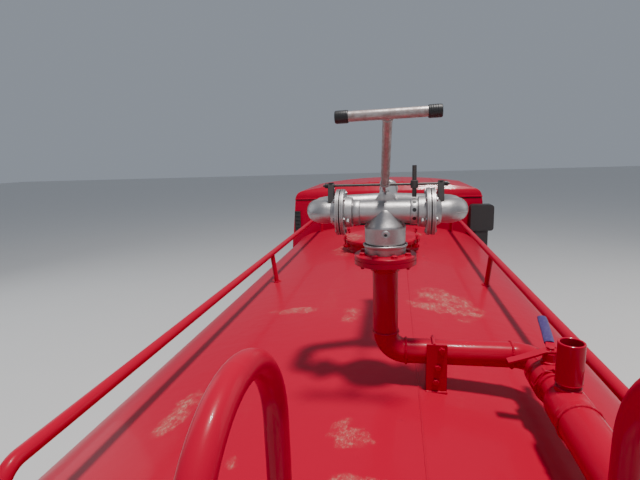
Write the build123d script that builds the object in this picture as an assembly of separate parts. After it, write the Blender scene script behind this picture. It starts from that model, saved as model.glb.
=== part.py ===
"""Water tanker fire truck: cab-over light truck, tank body, roof monitor and its pipework.

Millimetres. X to the right, Y forward, Z up, origin on the ground under the middle of the
bounding box. Each function builds one sub-part; the table at the end names the nodes.
"""
import math
import os

from build123d import *

SIDES = (-1, 1)

# Overall layout and fits
FRONT_Y = 3200.0
REAR_Y = -3200.0
FRONT_AXLE_Y = 2100.0
REAR_AXLE_Y = -1600.0
SEAT_GAP = 0.3
MOVE_GAP = 8.0
RUN_CLEARANCE = 0.05
CUT_OVER = 1.0

# Wheels
TYRE_RADIUS = 430.0
TYRE_WIDTH = 230.0
RIM_RADIUS = 206.0
RIM_WIDTH = 170.0
RIM_LIP = 14.0
RIM_DROP = 30.0
RIM_DISC = 12.0
DISC_BORE = 70.0
DISC_KNEE = 120.0
HAND_HOLES = 8
HAND_HOLE_CIRCLE = 143.0
HAND_HOLE_RADIUS = 18.0
HUB_RADIUS = 88.0
SPINDLE_RADIUS = 32.0
FRONT_TRACK_HALF = 850.0
FRONT_DISC_OUT = 40.0
FRONT_HUB_IN = 762.0
FRONT_HUB_PROUD = 45.0
FRONT_SPINDLE_OUT = 905.0
DUAL_INNER_X = 615.0
DUAL_OUTER_X = 885.0
REAR_DISC_OUT = 118.0
REAR_HUB_IN = 520.0
REAR_HUB_OUT = 840.0
REAR_SPINDLE_OUT = 800.0
SPINDLE_END_GAP = 8.0
AXLE_Z = TYRE_RADIUS
TYRE_PROFILE = (
    # Along the axle from the middle, radius
    (-78.0, RIM_RADIUS),
    (-100.0, RIM_RADIUS + 25.0),
    (-TYRE_WIDTH / 2, 320.0),
    (-108.0, 395.0),
    (-92.0, 420.0),
    (-50.0, TYRE_RADIUS),
    (50.0, TYRE_RADIUS),
    (92.0, 420.0),
    (108.0, 395.0),
    (TYRE_WIDTH / 2, 320.0),
    (100.0, RIM_RADIUS + 25.0),
    (78.0, RIM_RADIUS),
)

# Steering
KINGPIN_X = 680.0
KINGPIN_RADIUS = 18.0
KINGPIN_EYE_RADIUS = 45.0
KINGPIN_EYE_HALF = 55.0
EAR_THICKNESS = 28.0
EAR_GAP = 5.0
ARM_LENGTH = 160.0
ARM_HALF = 16.0
ARM_EYE_RADIUS = 20.0
TIE_ROD_RADIUS = 14.0
TIE_EYE_RADIUS = 24.0
TIE_EYE_HALF = 16.0
TIE_ROD_DROP = 34.0
TIE_PIN_RADIUS = 10.0
OPEN_EYE_GAP = 1.0

# Axles and springs
BEAM_DROP = 55.0
BEAM_HALF_HEIGHT = 35.0
BEAM_HALF_WIDTH = 30.0
BEAM_KICK_X = (450.0, 560.0)
BEAM_POCKET_X = 430.0
BEAM_POCKET_HALF = 20.0
BEAM_WEB_HALF = 10.0
AXLE_TUBE_RADIUS = 58.0
AXLE_NOSE = 235.0
AXLE_NOSE_RADIUS = 75.0
BANJO_PROFILE = (
    # Across from the middle, radius
    (-230.0, 0.0),
    (-230.0, AXLE_TUBE_RADIUS),
    (-110.0, 135.0),
    (-60.0, 155.0),
    (60.0, 155.0),
    (110.0, 135.0),
    (230.0, AXLE_TUBE_RADIUS),
    (230.0, 0.0),
)
FRONT_PAD_Z = AXLE_Z + 12.0
REAR_PAD_Z = AXLE_Z + 70.0
PAD_HALF_WIDTH = 45.0
SPRING_WIDTH = 64.0
HANGER_HALF = 16.0
HANGER_FROM_TIP = 18.0
LEAF_PACKS = (
    # Middle in Y, seat height, half lengths from the longest leaf, leaf thickness, rise of the ends
    (FRONT_AXLE_Y, FRONT_PAD_Z, (560.0, 470.0, 370.0, 270.0, 170.0), 11.0, 75.0),
    (REAR_AXLE_Y, REAR_PAD_Z, (620.0, 540.0, 450.0, 350.0, 250.0), 11.0, 20.0),
)

# Chassis
RAIL_OUTER_X = 375.0
RAIL_FLANGE = 65.0
RAIL_WALL = 7.0
RAIL_TOP = 780.0
RAIL_DEPTH = 180.0
RAIL_BOTTOM = RAIL_TOP - RAIL_DEPTH
RAIL_FRONT_Y = 2930.0
RAIL_REAR_Y = -3130.0
SPRING_X = RAIL_OUTER_X - 35.0
CROSS_DEPTH = 115.0
CROSS_WIDTH = 70.0
CROSS_MEMBERS_Y = (1050.0, 100.0, -900.0, -2050.0, -3060.0)
FRONT_MEMBER_LENGTH = 80.0
FRONT_MEMBER_TOP = 720.0
HORN_REAR_Y = 2740.0
HORN_Z = (455.0, 525.0)
HORN_HALF = 20.0
HORN_POST = 100.0
BUMPER_DEPTH = 60.0
BUMPER_Z = (385.0, 578.0)
BUMPER_HALF = 1020.0
BUMPER_END_LENGTH = 78.0
ENGINE_HALF = 250.0
ENGINE_Y = (1660.0, 2480.0)
ENGINE_Z = (520.0, 950.0)
ENGINE_FOOT_HALF = 40.0
ENGINE_FOOT_INSET = 120.0
GEARBOX_Z = 640.0
BELL_RADIUS = 190.0
BELL_LENGTH = 130.0
GEARBOX_RADIUS = 120.0
GEARBOX_LENGTH = 470.0
SHAFT_RADIUS = 42.0
SHAFT_START_Z = 600.0
DRIVE_FLANGE_RADIUS = 60.0
DRIVE_FLANGE_THICKNESS = 18.0

# Fuel tank, batteries and air reservoir, hung outside the rails
FUEL_TANK_X = (430.0, 900.0)
FUEL_TANK_Y = (-800.0, -50.0)
FUEL_TANK_Z = (430.0, 790.0)
FUEL_TANK_CORNER = 70.0
FUEL_BRACKETS_Y = (-650.0, -200.0)
FUEL_BRACKET_HALF = 30.0
FUEL_STRAP_PROUD = 6.0
FILLER = (780.0, -120.0, 790.0)
FILLER_RADIUS = 40.0
FILLER_HEIGHT = 25.0
BATTERY_X = (-880.0, -430.0)
BATTERY_Y = (-350.0, 100.0)
BATTERY_Z = (470.0, 790.0)
BATTERY_RIBS_Y = (-260.0, -125.0, 10.0)
RESERVOIR_X = -640.0
RESERVOIR_Y = (-950.0, -400.0)
RESERVOIR_Z = 640.0
RESERVOIR_RADIUS = 125.0
RESERVOIR_BRACKETS_Y = (-830.0, -530.0)

# Side guards and mudguards
GUARD_X = 970.0
GUARD_Y = (-1080.0, 1400.0)
GUARD_RAILS_Z = (470.0, 690.0)
GUARD_RAIL_HALF = 45.0
GUARD_RAIL_DEPTH = 25.0
GUARD_POSTS_Y = (-1000.0, 250.0, 1300.0)
GUARD_POST_HALF = 20.0
GUARD_POST_DEPTH = 35.0
GUARD_POST_Z = (425.0, 790.0)
GUARD_ARM_Z = (740.0, 778.0)
MUDGUARD_SHEET = 5.0
REAR_MUDGUARD_RADIUS = 458.0
REAR_MUDGUARD_X = (492.0, 1012.0)
REAR_MUDGUARD_RISE = 120.0
REAR_MUDGUARD_ARM = (380.0, 254.0, 290.0)
FRONT_MUDGUARD_RADIUS = 510.0
FRONT_MUDGUARD_X = (700.0, 1010.0)
FRONT_MUDGUARD_RISE = 293.0
FRONT_MUDGUARD_ARM = (407.0, 313.0, 336.0)
MUDGUARD_ARM_HALF = 13.0

# Tank
TANK_FRONT_Y = 1280.0
TANK_REAR_Y = -2770.0
TANK_TOP_Z = 1800.0
TANK_BOTTOM_Z = 880.0
TANK_HALF_WIDTH = 1000.0
TANK_CROWN_RADIUS = 3500.0
TANK_SIDE_BULGE = 22.0
TANK_KNEE_SHARE = 0.58
TANK_END_RADIUS = 45.0
SILL_WIDTH = 60.0
SILL_END_INSET = (40.0, 60.0)
SADDLES_Y = (1150.0, 450.0, -350.0, -950.0, -2250.0, -2680.0)
SADDLE_THICKNESS = 14.0
SADDLE_HALF = 800.0
SADDLE_RISE = (50.0, 150.0)

# Manhole
MANHOLE_Y = 130.0
MANHOLE_NECK_RADIUS = 255.0
MANHOLE_NECK_WALL = 12.0
MANHOLE_RIM_RADIUS = 288.0
MANHOLE_RIM_THICKNESS = 12.0
MANHOLE_RIM_Z = TANK_TOP_Z + 72.0
MANHOLE_LID_RADIUS = 290.0
MANHOLE_LID_THICKNESS = 22.0
MANHOLE_LID_BEVEL = 10.0
MANHOLE_HINGE_REACH = 325.0
MANHOLE_HINGE_Z = MANHOLE_RIM_Z + 24.0
MANHOLE_EAR_X = 60.0
MANHOLE_EAR_HALF = 8.0
MANHOLE_EAR_REACH = 18.0
MANHOLE_LUG_HALF = 40.0
MANHOLE_GRIP = (60.0, 58.0, 7.0, 18.0)
HINGE_PIN_RADIUS = 8.0
HINGE_PIN_HALF = 72.0

# Handrails and ladder
TUBE_RADIUS = 17.0
HANDRAIL_X = 643.0
HANDRAIL_Z = TANK_TOP_Z + 126.0
HANDRAIL_REAR_Y = -2600.0
HANDRAIL_FRONT_Y = 1190.0
HANDRAIL_BEND = 60.0
STANCHION_Y = -660.0
STANCHION_FOOT_X = 614.0
STANCHION_RADIUS = 14.0
LEG_ROOT_DEPTH = 120.0
LADDER_TUBE_RADIUS = 19.0
LADDER_X = (-66.0, 410.0)
LADDER_NEAR_Y = -2943.0
LADDER_FAR_Y = -2647.0
LADDER_APEX_Z = TANK_TOP_Z + 466.0
RUNG_RADIUS = 13.0
RUNG_PITCH = 260.0
RUNG_COUNT = 4
STAND_OFF_RADIUS = 11.0
STAND_OFFS_Z = (1190.0, 1710.0)

# Pipework on the tank
PIPE_RADIUS = 38.0
MONITOR_X = 78.0
MONITOR_Y = -1910.0
PIPE_Z = TANK_TOP_Z + 100.0
LONG_PIPE_X = 512.0
PIPE_BEND = 62.0
ELBOW_REACH = 95.0
FLANGE_RADIUS = 92.5
FLANGE_THICKNESS = 14.0
FLANGE_TOP_Z = TANK_TOP_Z + 410.0
BRACKET_X = 230.0
BRACKET_HALF = 30.0
BRACKET_PLATE = 8.0
BRACKET_CHEEK = 6.0
BRACKET_REACH = 52.0
STUB_Y = -2180.0
STUB_RADIUS = 30.0
STUB_WALL = 5.0
STUB_DEPTH = 90.0
STUB_TOP_Z = TANK_TOP_Z + 260.0
STUB_SEAT_Z = PIPE_Z + 62.0
STUB_RING_Z = PIPE_Z + 46.0
NIPPLE_RADIUS = 24.0
VALVE_Y = -2050.0
VALVE_RADIUS = 50.0
VALVE_HALF = 45.0
BONNET_RADIUS = 14.0
LEVER_Z = PIPE_Z + 80.0
LEVER_THICKNESS = 6.0
LEVER_HALF_WIDTH = 14.0
LEVER_LINE = (
    # X and height of the bent bar's middle
    (LONG_PIPE_X - 107.0, LEVER_Z - 35.0),
    (LONG_PIPE_X - 14.0, LEVER_Z),
    (LONG_PIPE_X + 33.0, LEVER_Z),
)
LEVER_NECK_LENGTH = 42.0
SLEEVE_START = (LONG_PIPE_X + 2.0, VALVE_Y + 40.0, LEVER_Z + 4.0)
SLEEVE_END = (LONG_PIPE_X + 31.0, VALVE_Y + 185.0, LEVER_Z + 22.0)
SLEEVE_SECTION = (26.0, 14.0, 6.0)
WIDE_PIPE_Y = -2225.0
WIDE_PIPE_RADIUS = 48.0
WIDE_PIPE_BEND = 100.0
WIDE_PIPE_LAP = 20.0
DROP_Y = -2905.0

# Monitor: a fixed cup, a turret that pans, and a gun that tilts on the turret's cross tube
CUP_PROFILE = (
    # Height above the flange's top, radius
    (0.0, 61.0),
    (26.0, 61.0),
    (29.0, 66.0),
    (32.0, 66.0),
)
SWIVEL_Z = TANK_TOP_Z + 447.0
SWIVEL_PIN_RADIUS = 30.0
SWIVEL_PIN_HEIGHT = 25.0
BELL_PROFILE = (
    # Height above the swivel's lower edge, radius
    (0.0, 60.0),
    (47.0, 61.0),
    (56.0, 55.0),
    (78.0, 41.5),
    (89.0, 37.0),
)
CROSS_TUBE_Z = TANK_TOP_Z + 536.0
CROSS_TUBE_RADIUS = 34.0
SWIVEL_FLANGE_RADIUS = 69.0
CROSS_RINGS = (
    # From and to on each side of the middle, radius
    (0.0, 118.0, CROSS_TUBE_RADIUS),
    (73.0, 95.0, 37.5),
    (97.0, 118.0, 44.0),
    (118.0, 130.0, SWIVEL_FLANGE_RADIUS),
)
TRUNNION_OUT = 130.0
TRUNNION_DEPTH = 40.0
TRUNNION_RADIUS = 28.0
GUN_GAP = 2.0
GUN_RING_THICKNESS = 12.0
GUN_COLLAR = (12.0, 43.0)
GUN_ELEVATION = 1.5
ARM_RADIUS = 35.0
ARM_OUT = 205.0
ARM_FORWARD = 150.0
ARM_MEET = 215.0
ARM_BENDS = (38.0, 70.0)
BARREL_START = 185.0
BARREL_REACH = 690.0
BARREL_BORE = 24.0
BARREL_PROFILE = (
    # Forward of the trunnions, outer radius
    (BARREL_START, 41.0),
    (BARREL_START + 50.0, 41.0),
    (BARREL_START + 56.0, 38.0),
    (BARREL_REACH - 52.0, 31.5),
    (BARREL_REACH - 46.0, 40.0),
    (BARREL_REACH, 41.0),
)
HANDLE_TOP = (MONITOR_X + 12.0, MONITOR_Y - 180.0, TANK_TOP_Z + 800.0)
HANDLE_LENGTH = 252.0
HANDLE_SLOPE = 1.0
HANDLE_STEM_RADIUS = 12.5
HANDLE_BAR_RADIUS = 13.0
HANDLE_CAP_RADIUS = 16.5
HANDLE_CAP_LENGTH = 33.0
HANDLE_CAP_OVER = 5.0
YOKE_Z = CROSS_TUBE_Z + 80.0
YOKE_HALF = 183.0
YOKE_RADIUS = 4.5
YOKE_LUG_X = 160.0
YOKE_LUG_HALF = (8.0, 12.0)
LOCK_PIN_X = MONITOR_X + 84.5
LOCK_PIN_Z = (CROSS_TUBE_Z + 43.0, CROSS_TUBE_Z + 134.0)
LOCK_PIN_RADIUS = 6.5
LOCK_NUT_Z = (CROSS_TUBE_Z + 68.0, CROSS_TUBE_Z + 92.0)
LOCK_NUT_RADIUS = 11.0

# Rear platform, tail and pump
PLATFORM_Z = 800.0
PLATFORM_FRONT_Y = -2800.0
PLATFORM_REAR_Y = -3150.0
PLATFORM_HALF = 960.0
PLATFORM_SKIRT = 110.0
BEARER_HALF = 20.0
PLATE = 6.0
UNDERRUN_Z = (350.0, 440.0)
UNDERRUN_DEPTH = 90.0
UNDERRUN_POST_X = RAIL_OUTER_X + 45.0
UNDERRUN_POST_HALF = 25.0
TAIL_LAMP_X = (640.0, 900.0)
TAIL_LAMP_Z = (700.0, 788.0)
TAIL_LAMP_DEPTH = 30.0
TAIL_LAMP_CORNER = 20.0
MANIFOLD_Z = 530.0
MANIFOLD_RADIUS = 57.0
MANIFOLD_X = (-520.0, 600.0)
MANIFOLD_FLANGE = (14.0, 78.0)
MANIFOLD_HANGERS_X = (-345.0, 345.0)
OUTLETS_X = (-290.0, 200.0)
OUTLET_RADIUS = 38.0
OUTLET_REACH = 130.0
COUPLING_RADIUS = 50.0
COUPLING_LENGTH = 40.0
OUTLET_WHEEL_RADIUS = 36.0
OUTLET_WHEEL_Z = MANIFOLD_Z + 112.0
PUMP_X = 160.0
PUMP_Y = (-2560.0, -2440.0)
PUMP_RADIUS = 160.0
PUMP_BEARING_RADIUS = 70.0
PUMP_BEARING_END_Y = -2250.0
PUMP_NECK_RADIUS = 50.0

# Raised air intake behind the cab
INTAKE_HEAD_X = (845.0, 1065.0)
INTAKE_HEAD_Y = (1320.0, 1450.0)
INTAKE_HEAD_Z = (1722.0, 1980.0)
INTAKE_HEAD_CORNER = 30.0
INTAKE_SLOTS = 6
INTAKE_SLOT_DEPTH = 7.0
INTAKE_DUCT_X = (890.0, 1015.0)
INTAKE_DUCT_Y = (1330.0, 1430.0)
INTAKE_FOOT_Y = (1340.0, 1420.0)
INTAKE_FOOT_Z = (740.0, 920.0)
INTAKE_FOOT_OUT = 960.0

# Cab
CAB_BACK_Y = 1480.0
CAB_FRONT_Y = 3080.0
CAB_HALF_WIDTH = 1040.0
CAB_FLOOR_Z = 1000.0
CAB_SKIRT_Z = 620.0
CAB_ROOF_Z = 2215.0
CAB_WALL = 45.0
CAB_SEAM_Z = 2050.0
CAB_EAVE_Z = 2125.0
CAB_EAVE_INSET = 72.0
CAB_EAVE_RADIUS = 90.0
CAB_SKIRT_INSET = 25.0
CAB_CORNER_RADIUS = 90.0
CAB_CUT_REACH = 160.0
BELT_Z = 1380.0
CAB_SIDE = (
    # Side outline: Y, Z
    (CAB_BACK_Y, CAB_FLOOR_Z),
    (CAB_FRONT_Y - 430.0, CAB_FLOOR_Z),
    (CAB_FRONT_Y - 390.0, CAB_SKIRT_Z),
    (CAB_FRONT_Y - 15.0, CAB_SKIRT_Z),
    (CAB_FRONT_Y, BELT_Z),
    (CAB_FRONT_Y - 335.0, CAB_ROOF_Z - 75.0),
    (CAB_FRONT_Y - 520.0, CAB_ROOF_Z + 12.0),
    (CAB_BACK_Y + 90.0, CAB_ROOF_Z + 12.0),
    (CAB_BACK_Y + 8.0, CAB_ROOF_Z - 105.0),
)
ROOF_RIBS = 9
ROOF_RIB_SPREAD = 700.0
ROOF_RIB_Y = (1640.0, 2480.0)
ROOF_RIB_RADIUS = 16.0
ROOF_RIB_PROUD = 7.0
BACK_RIBS_X = (430.0, 560.0, 690.0, 820.0)
BACK_RIB_Z = (1120.0, 1620.0)
BACK_RIB_HALF = 18.0
BACK_RIB_PROUD = 6.0
TUNNEL_HALF = 420.0
TUNNEL_Z = 800.0
TUNNEL_REAR_Y = 2600.0
CAB_PIVOT_Y = 2960.0
CAB_PIVOT_Z = 662.0
CAB_PIVOT_X = 402.0
CAB_PIVOT_LUG = (12.0, 26.0, 28.0)
PIVOT_PIN_RADIUS = 16.0
PIVOT_PIN_OVER = 26.0
STEP_Y = (2745.0, 2985.0)
STEP_Z = (705.0, 830.0)
STEP_DEPTH = 110.0
STEP_WALL = 8.0

# Doors, glass and the openings for them
GLASS = 6.0
FRONT_GLASS_IN = 15.0
DOOR_GLASS_IN = 20.0
WINDOW_TOP_Z = 1985.0
DOOR_CUT_DEPTH = 190.0
DOOR_CORNER = 45.0
DOOR_OUTLINE = (
    # Y, Z
    (1800.0, 1065.0),
    (2770.0, 1065.0),
    (2770.0, 1420.0),
    (2625.0, WINDOW_TOP_Z + 20.0),
    (1800.0, WINDOW_TOP_Z + 20.0),
)
DOOR_WINDOW = (
    # Y, Z
    (1885.0, 1425.0),
    (2680.0, 1425.0),
    (2560.0, 1925.0),
    (1885.0, 1925.0),
)
DOOR_WINDOW_CORNER = 40.0
SCREEN_OUTLINE = (
    # X, Z
    (-(CAB_HALF_WIDTH - 110.0), BELT_Z + 55.0),
    (CAB_HALF_WIDTH - 110.0, BELT_Z + 55.0),
    (CAB_HALF_WIDTH - 175.0, WINDOW_TOP_Z),
    (-(CAB_HALF_WIDTH - 175.0), WINDOW_TOP_Z),
)
SCREEN_CORNER = 60.0
REAR_WINDOW_HALF = 320.0
REAR_WINDOW_Z = (1738.0, 1975.0)
REAR_WINDOW_CORNER = 50.0
DOOR_AXIS_X = CAB_HALF_WIDTH + 16.0
DOOR_AXIS_Y = 2745.0
DOOR_HINGES_Z = (1150.0, 1350.0)
DOOR_PIN_RADIUS = 6.0
DOOR_BARREL_RADIUS = 10.0
DOOR_BARREL_HALF = 20.0
DOOR_HINGE_PLAY = 2.0
HINGE_LEAF = 12.0
HINGE_ROOT = 40.0

# Cab front, mirrors and vents
GRILLE_HALF = 620.0
GRILLE_Z = (960.0, 1180.0)
GRILLE_PROUD = 22.0
GRILLE_BARS = 5
GRILLE_FRAME = 30.0
GRILLE_SLOT_DEPTH = 14.0
GRILLE_SLOT_SHARE = 0.56
HEADLAMP_INSET = (80.0, 380.0)
HEADLAMP_Z = (700.0, 860.0)
HEADLAMP_PROUD = 28.0
HEADLAMP_CORNER = 45.0
MIRROR_OUT = CAB_HALF_WIDTH + 210.0
MIRROR_HEAD_WIDTH = 190.0
MIRROR_HEAD_Y = (2925.0, 2995.0)
MIRROR_HEAD_Z = (1560.0, 1880.0)
MIRROR_HEAD_CORNER = 40.0
MIRROR_ARM_RADIUS = 11.0
MIRROR_ARM_Y = (2850.0, 2925.0, 2960.0)
MIRROR_ARM_Z = (1500.0, 1930.0)
MIRROR_ARM_BEND = 40.0
VENT_X = (925.0, 985.0)
VENT_Z = (1710.0, 1920.0)
VENT_PROUD = 16.0
VENT_SLATS = 5
VENT_SLOT_DEPTH = 8.0

# Inside the cab
DASH_FLOOR_Z = CAB_FLOOR_Z + 220.0
DASH_SECTION = (
    # Y, height above the dash's lower edge
    (2700.0, 0.0),
    (2930.0, 20.0),
    (2990.0, 190.0),
    (2760.0, 230.0),
    (2700.0, 150.0),
)
DASH_END_INSET = 100.0
DASH_WING_Y = (2815.0, 2950.0)
DASH_WING_RISE = (40.0, 180.0)
COLUMN_TOP = (-420.0, 2560.0, 1452.0)
COLUMN_LENGTH = 284.0
COLUMN_RADIUS = 28.0
COLUMN_SHAFT_RADIUS = 12.0
COLUMN_SHAFT_LENGTH = 44.0
WHEEL_TILT = (0.0, -0.6, 0.8)
WHEEL_RADIUS = 205.0
WHEEL_GRIP_RADIUS = 15.0
WHEEL_BOSS_RADIUS = 45.0
WHEEL_BOSS_HEIGHT = 46.0
WHEEL_SPOKES = (90.0, 210.0, 330.0)
WHEEL_SPOKE_SIZE = (180.0, 26.0, 12.0)
SEATS = (
    # Middle in X, half width
    (-460.0, 260.0),
    (330.0, 480.0),
)
SEAT_BASE_Y = (1760.0, 2180.0)
CUSHION_Y = (1730.0, 2240.0)
CUSHION_Z = (CAB_FLOOR_Z + 150.0, CAB_FLOOR_Z + 290.0)
BACKREST = (
    # Y, Z
    (1740.0, CAB_FLOOR_Z + 280.0),
    (1850.0, CAB_FLOOR_Z + 280.0),
    (1700.0, CAB_FLOOR_Z + 800.0),
    (1610.0, CAB_FLOOR_Z + 800.0),
)
SEAT_EDGE = 30.0


# Shapes that the sub-parts share

def span(one_end, other_end):
    """Two limits in rising order."""
    return min(one_end, other_end), max(one_end, other_end)


def block(x, y, z):
    """Box from its low and high limits on each axis."""
    centre = Pos((x[0] + x[1]) / 2, (y[0] + y[1]) / 2, (z[0] + z[1]) / 2)
    return centre * Box(x[1] - x[0], y[1] - y[0], z[1] - z[0])


def rod(start, end, radius):
    """Round bar between two points."""
    start, end = Vector(*start), Vector(*end)
    return extrude(Plane(origin=start, z_dir=end - start) * Circle(radius), (end - start).length)


def bent_tube(points, radius, bends):
    """Tube along straight runs joined by tangent arcs; bends is one radius or one for each corner."""
    path = FilletPolyline(*points, radius=bends)
    return sweep(Plane(origin=path @ 0, z_dir=path % 0) * Circle(radius), path=path)


def side_plate(points, x_limits, corner=0.0):
    """Plate drawn in the YZ plane between two limits in X."""
    face = make_face(Polyline(*points, close=True))
    if corner:
        face = fillet(face.vertices(), corner)
    plane = Plane(origin=(x_limits[0], 0, 0), x_dir=(0, 1, 0), z_dir=(1, 0, 0))
    return extrude(plane * face, x_limits[1] - x_limits[0])


def front_plate(points, y_limits, corner=0.0):
    """Plate drawn in the XZ plane between two limits in Y."""
    face = make_face(Polyline(*points, close=True))
    if corner:
        face = fillet(face.vertices(), corner)
    plane = Plane(origin=(0, y_limits[1], 0), x_dir=(1, 0, 0), z_dir=(0, -1, 0))
    return extrude(plane * face, y_limits[1] - y_limits[0])


def turned(profile, origin, axis):
    """Solid of revolution; the profile is (along the axis, radius) from its origin."""
    square = (0, 0, 1) if axis[2] == 0 else (1, 0, 0)
    face = make_face(Polyline(*profile, close=True))
    return revolve(Plane(origin=origin, x_dir=axis, z_dir=square) * face, Axis(origin, axis))


def one(shape):
    """The shape as one part, whatever a boolean left it as."""
    solids = shape.solids()
    return solids[0] if len(solids) == 1 else Compound(children=list(solids))


def pair(build):
    """The left and the right one of a sub-part as one node."""
    return Compound(children=[one(build(side)) for side in SIDES])


# Tank

def tank_section(grow=0.0):
    """Square-round section of tangent arcs: crowns above and below, bulged sides, four knees.

    Every arc keeps its centre when the section grows, so the grown section runs parallel.
    """
    half_height = (TANK_TOP_Z - TANK_BOTTOM_Z) / 2
    side_reach = TANK_HALF_WIDTH - TANK_SIDE_BULGE
    side_rise = half_height - TANK_CROWN_RADIUS + math.sqrt(TANK_CROWN_RADIUS ** 2 - side_reach ** 2)
    side_radius = (side_rise ** 2 + TANK_SIDE_BULGE ** 2) / (2 * TANK_SIDE_BULGE)
    knee_radius = 2 * side_rise * TANK_KNEE_SHARE
    crown_centre = half_height - TANK_CROWN_RADIUS
    side_centre = TANK_HALF_WIDTH - side_radius
    from_crown = TANK_CROWN_RADIUS - knee_radius
    apart = math.hypot(side_centre, crown_centre)
    along = (from_crown ** 2 - (side_radius - knee_radius) ** 2 + apart ** 2) / (2 * apart)
    across = math.sqrt(from_crown ** 2 - along ** 2)
    way_x, way_z = side_centre / apart, -crown_centre / apart
    knee_x = way_x * along + way_z * across
    knee_z = crown_centre + way_z * along - way_x * across
    crown_end = math.degrees(math.atan2(knee_z - crown_centre, knee_x))
    side_end = math.degrees(math.atan2(knee_z, knee_x - side_centre))
    arcs = []
    for turn in (0.0, 180.0):
        up = 1.0 if turn == 0.0 else -1.0
        crown, knee, side = TANK_CROWN_RADIUS + grow, knee_radius + grow, side_radius + grow
        knee_turn = crown_end - side_end
        arcs.append(CenterArc((up * side_centre, 0), side, turn - side_end, 2 * side_end))
        arcs.append(CenterArc((up * knee_x, up * knee_z), knee, turn + side_end, knee_turn))
        arcs.append(CenterArc((0, up * crown_centre), crown, turn + crown_end, 180.0 - 2 * crown_end))
        arcs.append(CenterArc((-up * knee_x, up * knee_z), knee, turn + 180.0 - crown_end, knee_turn))
    return Pos(0, (TANK_TOP_Z + TANK_BOTTOM_Z) / 2) * make_face(arcs)


def tank_solid(grow=0.0):
    plane = Plane(origin=(0, TANK_FRONT_Y + grow, 0), x_dir=(1, 0, 0), z_dir=(0, -1, 0))
    return extrude(plane * tank_section(grow), TANK_FRONT_Y - TANK_REAR_Y + 2 * grow)


def water_tank():
    tank = tank_solid()
    edges = [edge for face in tank.faces().filter_by(Axis.Y) for edge in face.edges()]
    return fillet(edges, TANK_END_RADIUS)


def tank_subframe():
    """Two sills on the chassis rails with saddle plates cut to the tank's underside."""
    body = None
    for side in SIDES:
        sill = block(span(side * RAIL_OUTER_X, side * (RAIL_OUTER_X - SILL_WIDTH)),
                     (TANK_REAR_Y + SILL_END_INSET[0], TANK_FRONT_Y - SILL_END_INSET[1]),
                     (RAIL_TOP, TANK_BOTTOM_Z + SILL_WIDTH))
        body = sill if body is None else body + sill
    low, high = (TANK_BOTTOM_Z + rise for rise in SADDLE_RISE)
    outline = [(-SADDLE_HALF, high), (-SADDLE_HALF, low), (-RAIL_OUTER_X, RAIL_TOP),
               (RAIL_OUTER_X, RAIL_TOP), (SADDLE_HALF, low), (SADDLE_HALF, high)]
    for y in SADDLES_Y:
        body = body + front_plate(outline, (y - SADDLE_THICKNESS / 2, y + SADDLE_THICKNESS / 2))
    return one(body - tank_solid(SEAT_GAP))


def manhole_neck():
    """Rolled neck on the tank with a rim, hinge ears in front."""
    root, low = TANK_TOP_Z - 25, MANHOLE_RIM_Z - MANHOLE_RIM_THICKNESS
    neck = rod((0, MANHOLE_Y, root), (0, MANHOLE_Y, MANHOLE_RIM_Z), MANHOLE_NECK_RADIUS)
    neck = neck + rod((0, MANHOLE_Y, low), (0, MANHOLE_Y, MANHOLE_RIM_Z), MANHOLE_RIM_RADIUS)
    neck = neck - rod((0, MANHOLE_Y, root - MANHOLE_NECK_WALL), (0, MANHOLE_Y, MANHOLE_RIM_Z + CUT_OVER),
                      MANHOLE_NECK_RADIUS - MANHOLE_NECK_WALL)
    pin_y = MANHOLE_Y + MANHOLE_HINGE_REACH
    far = pin_y + MANHOLE_EAR_REACH
    for side in SIDES:
        x = side * MANHOLE_EAR_X
        sides = (x - MANHOLE_EAR_HALF, x + MANHOLE_EAR_HALF)
        root_bar = block(sides, (MANHOLE_Y + MANHOLE_RIM_RADIUS - 25, far), (low, MANHOLE_RIM_Z))
        ear = block(sides, (MANHOLE_Y + MANHOLE_LID_RADIUS + 10, far),
                    (low, MANHOLE_HINGE_Z + MANHOLE_EAR_REACH))
        bore = rod((sides[0] - CUT_OVER, pin_y, MANHOLE_HINGE_Z),
                   (sides[1] + CUT_OVER, pin_y, MANHOLE_HINGE_Z), HINGE_PIN_RADIUS + RUN_CLEARANCE)
        neck = neck + root_bar + ear - bore
    return one(neck - tank_solid())


def manhole_lid():
    """Flat lid with a bevelled edge, a hinge lug in front with its pin, and a bow handle."""
    low = MANHOLE_RIM_Z + SEAT_GAP
    lid = rod((0, MANHOLE_Y, low), (0, MANHOLE_Y, low + MANHOLE_LID_THICKNESS), MANHOLE_LID_RADIUS)
    lid = chamfer(lid.faces().sort_by(Axis.Z)[-1].edges(), MANHOLE_LID_BEVEL)
    pin_y = MANHOLE_Y + MANHOLE_HINGE_REACH
    lug = block((-MANHOLE_LUG_HALF, MANHOLE_LUG_HALF), (MANHOLE_Y + MANHOLE_LID_RADIUS - 30, pin_y + 12),
                (low + 6, low + 34))
    pin = rod((-HINGE_PIN_HALF, pin_y, MANHOLE_HINGE_Z), (HINGE_PIN_HALF, pin_y, MANHOLE_HINGE_Z),
              HINGE_PIN_RADIUS)
    half, height, radius, bend = MANHOLE_GRIP
    foot, bow = low + MANHOLE_LID_THICKNESS - 4, low + height
    corners = ((-half, foot), (-half, bow), (half, bow), (half, foot))
    grip = bent_tube([(x, MANHOLE_Y, z) for x, z in corners], radius, bend)
    return one(lid + lug + pin + grip)


# Handrails and ladder

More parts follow.
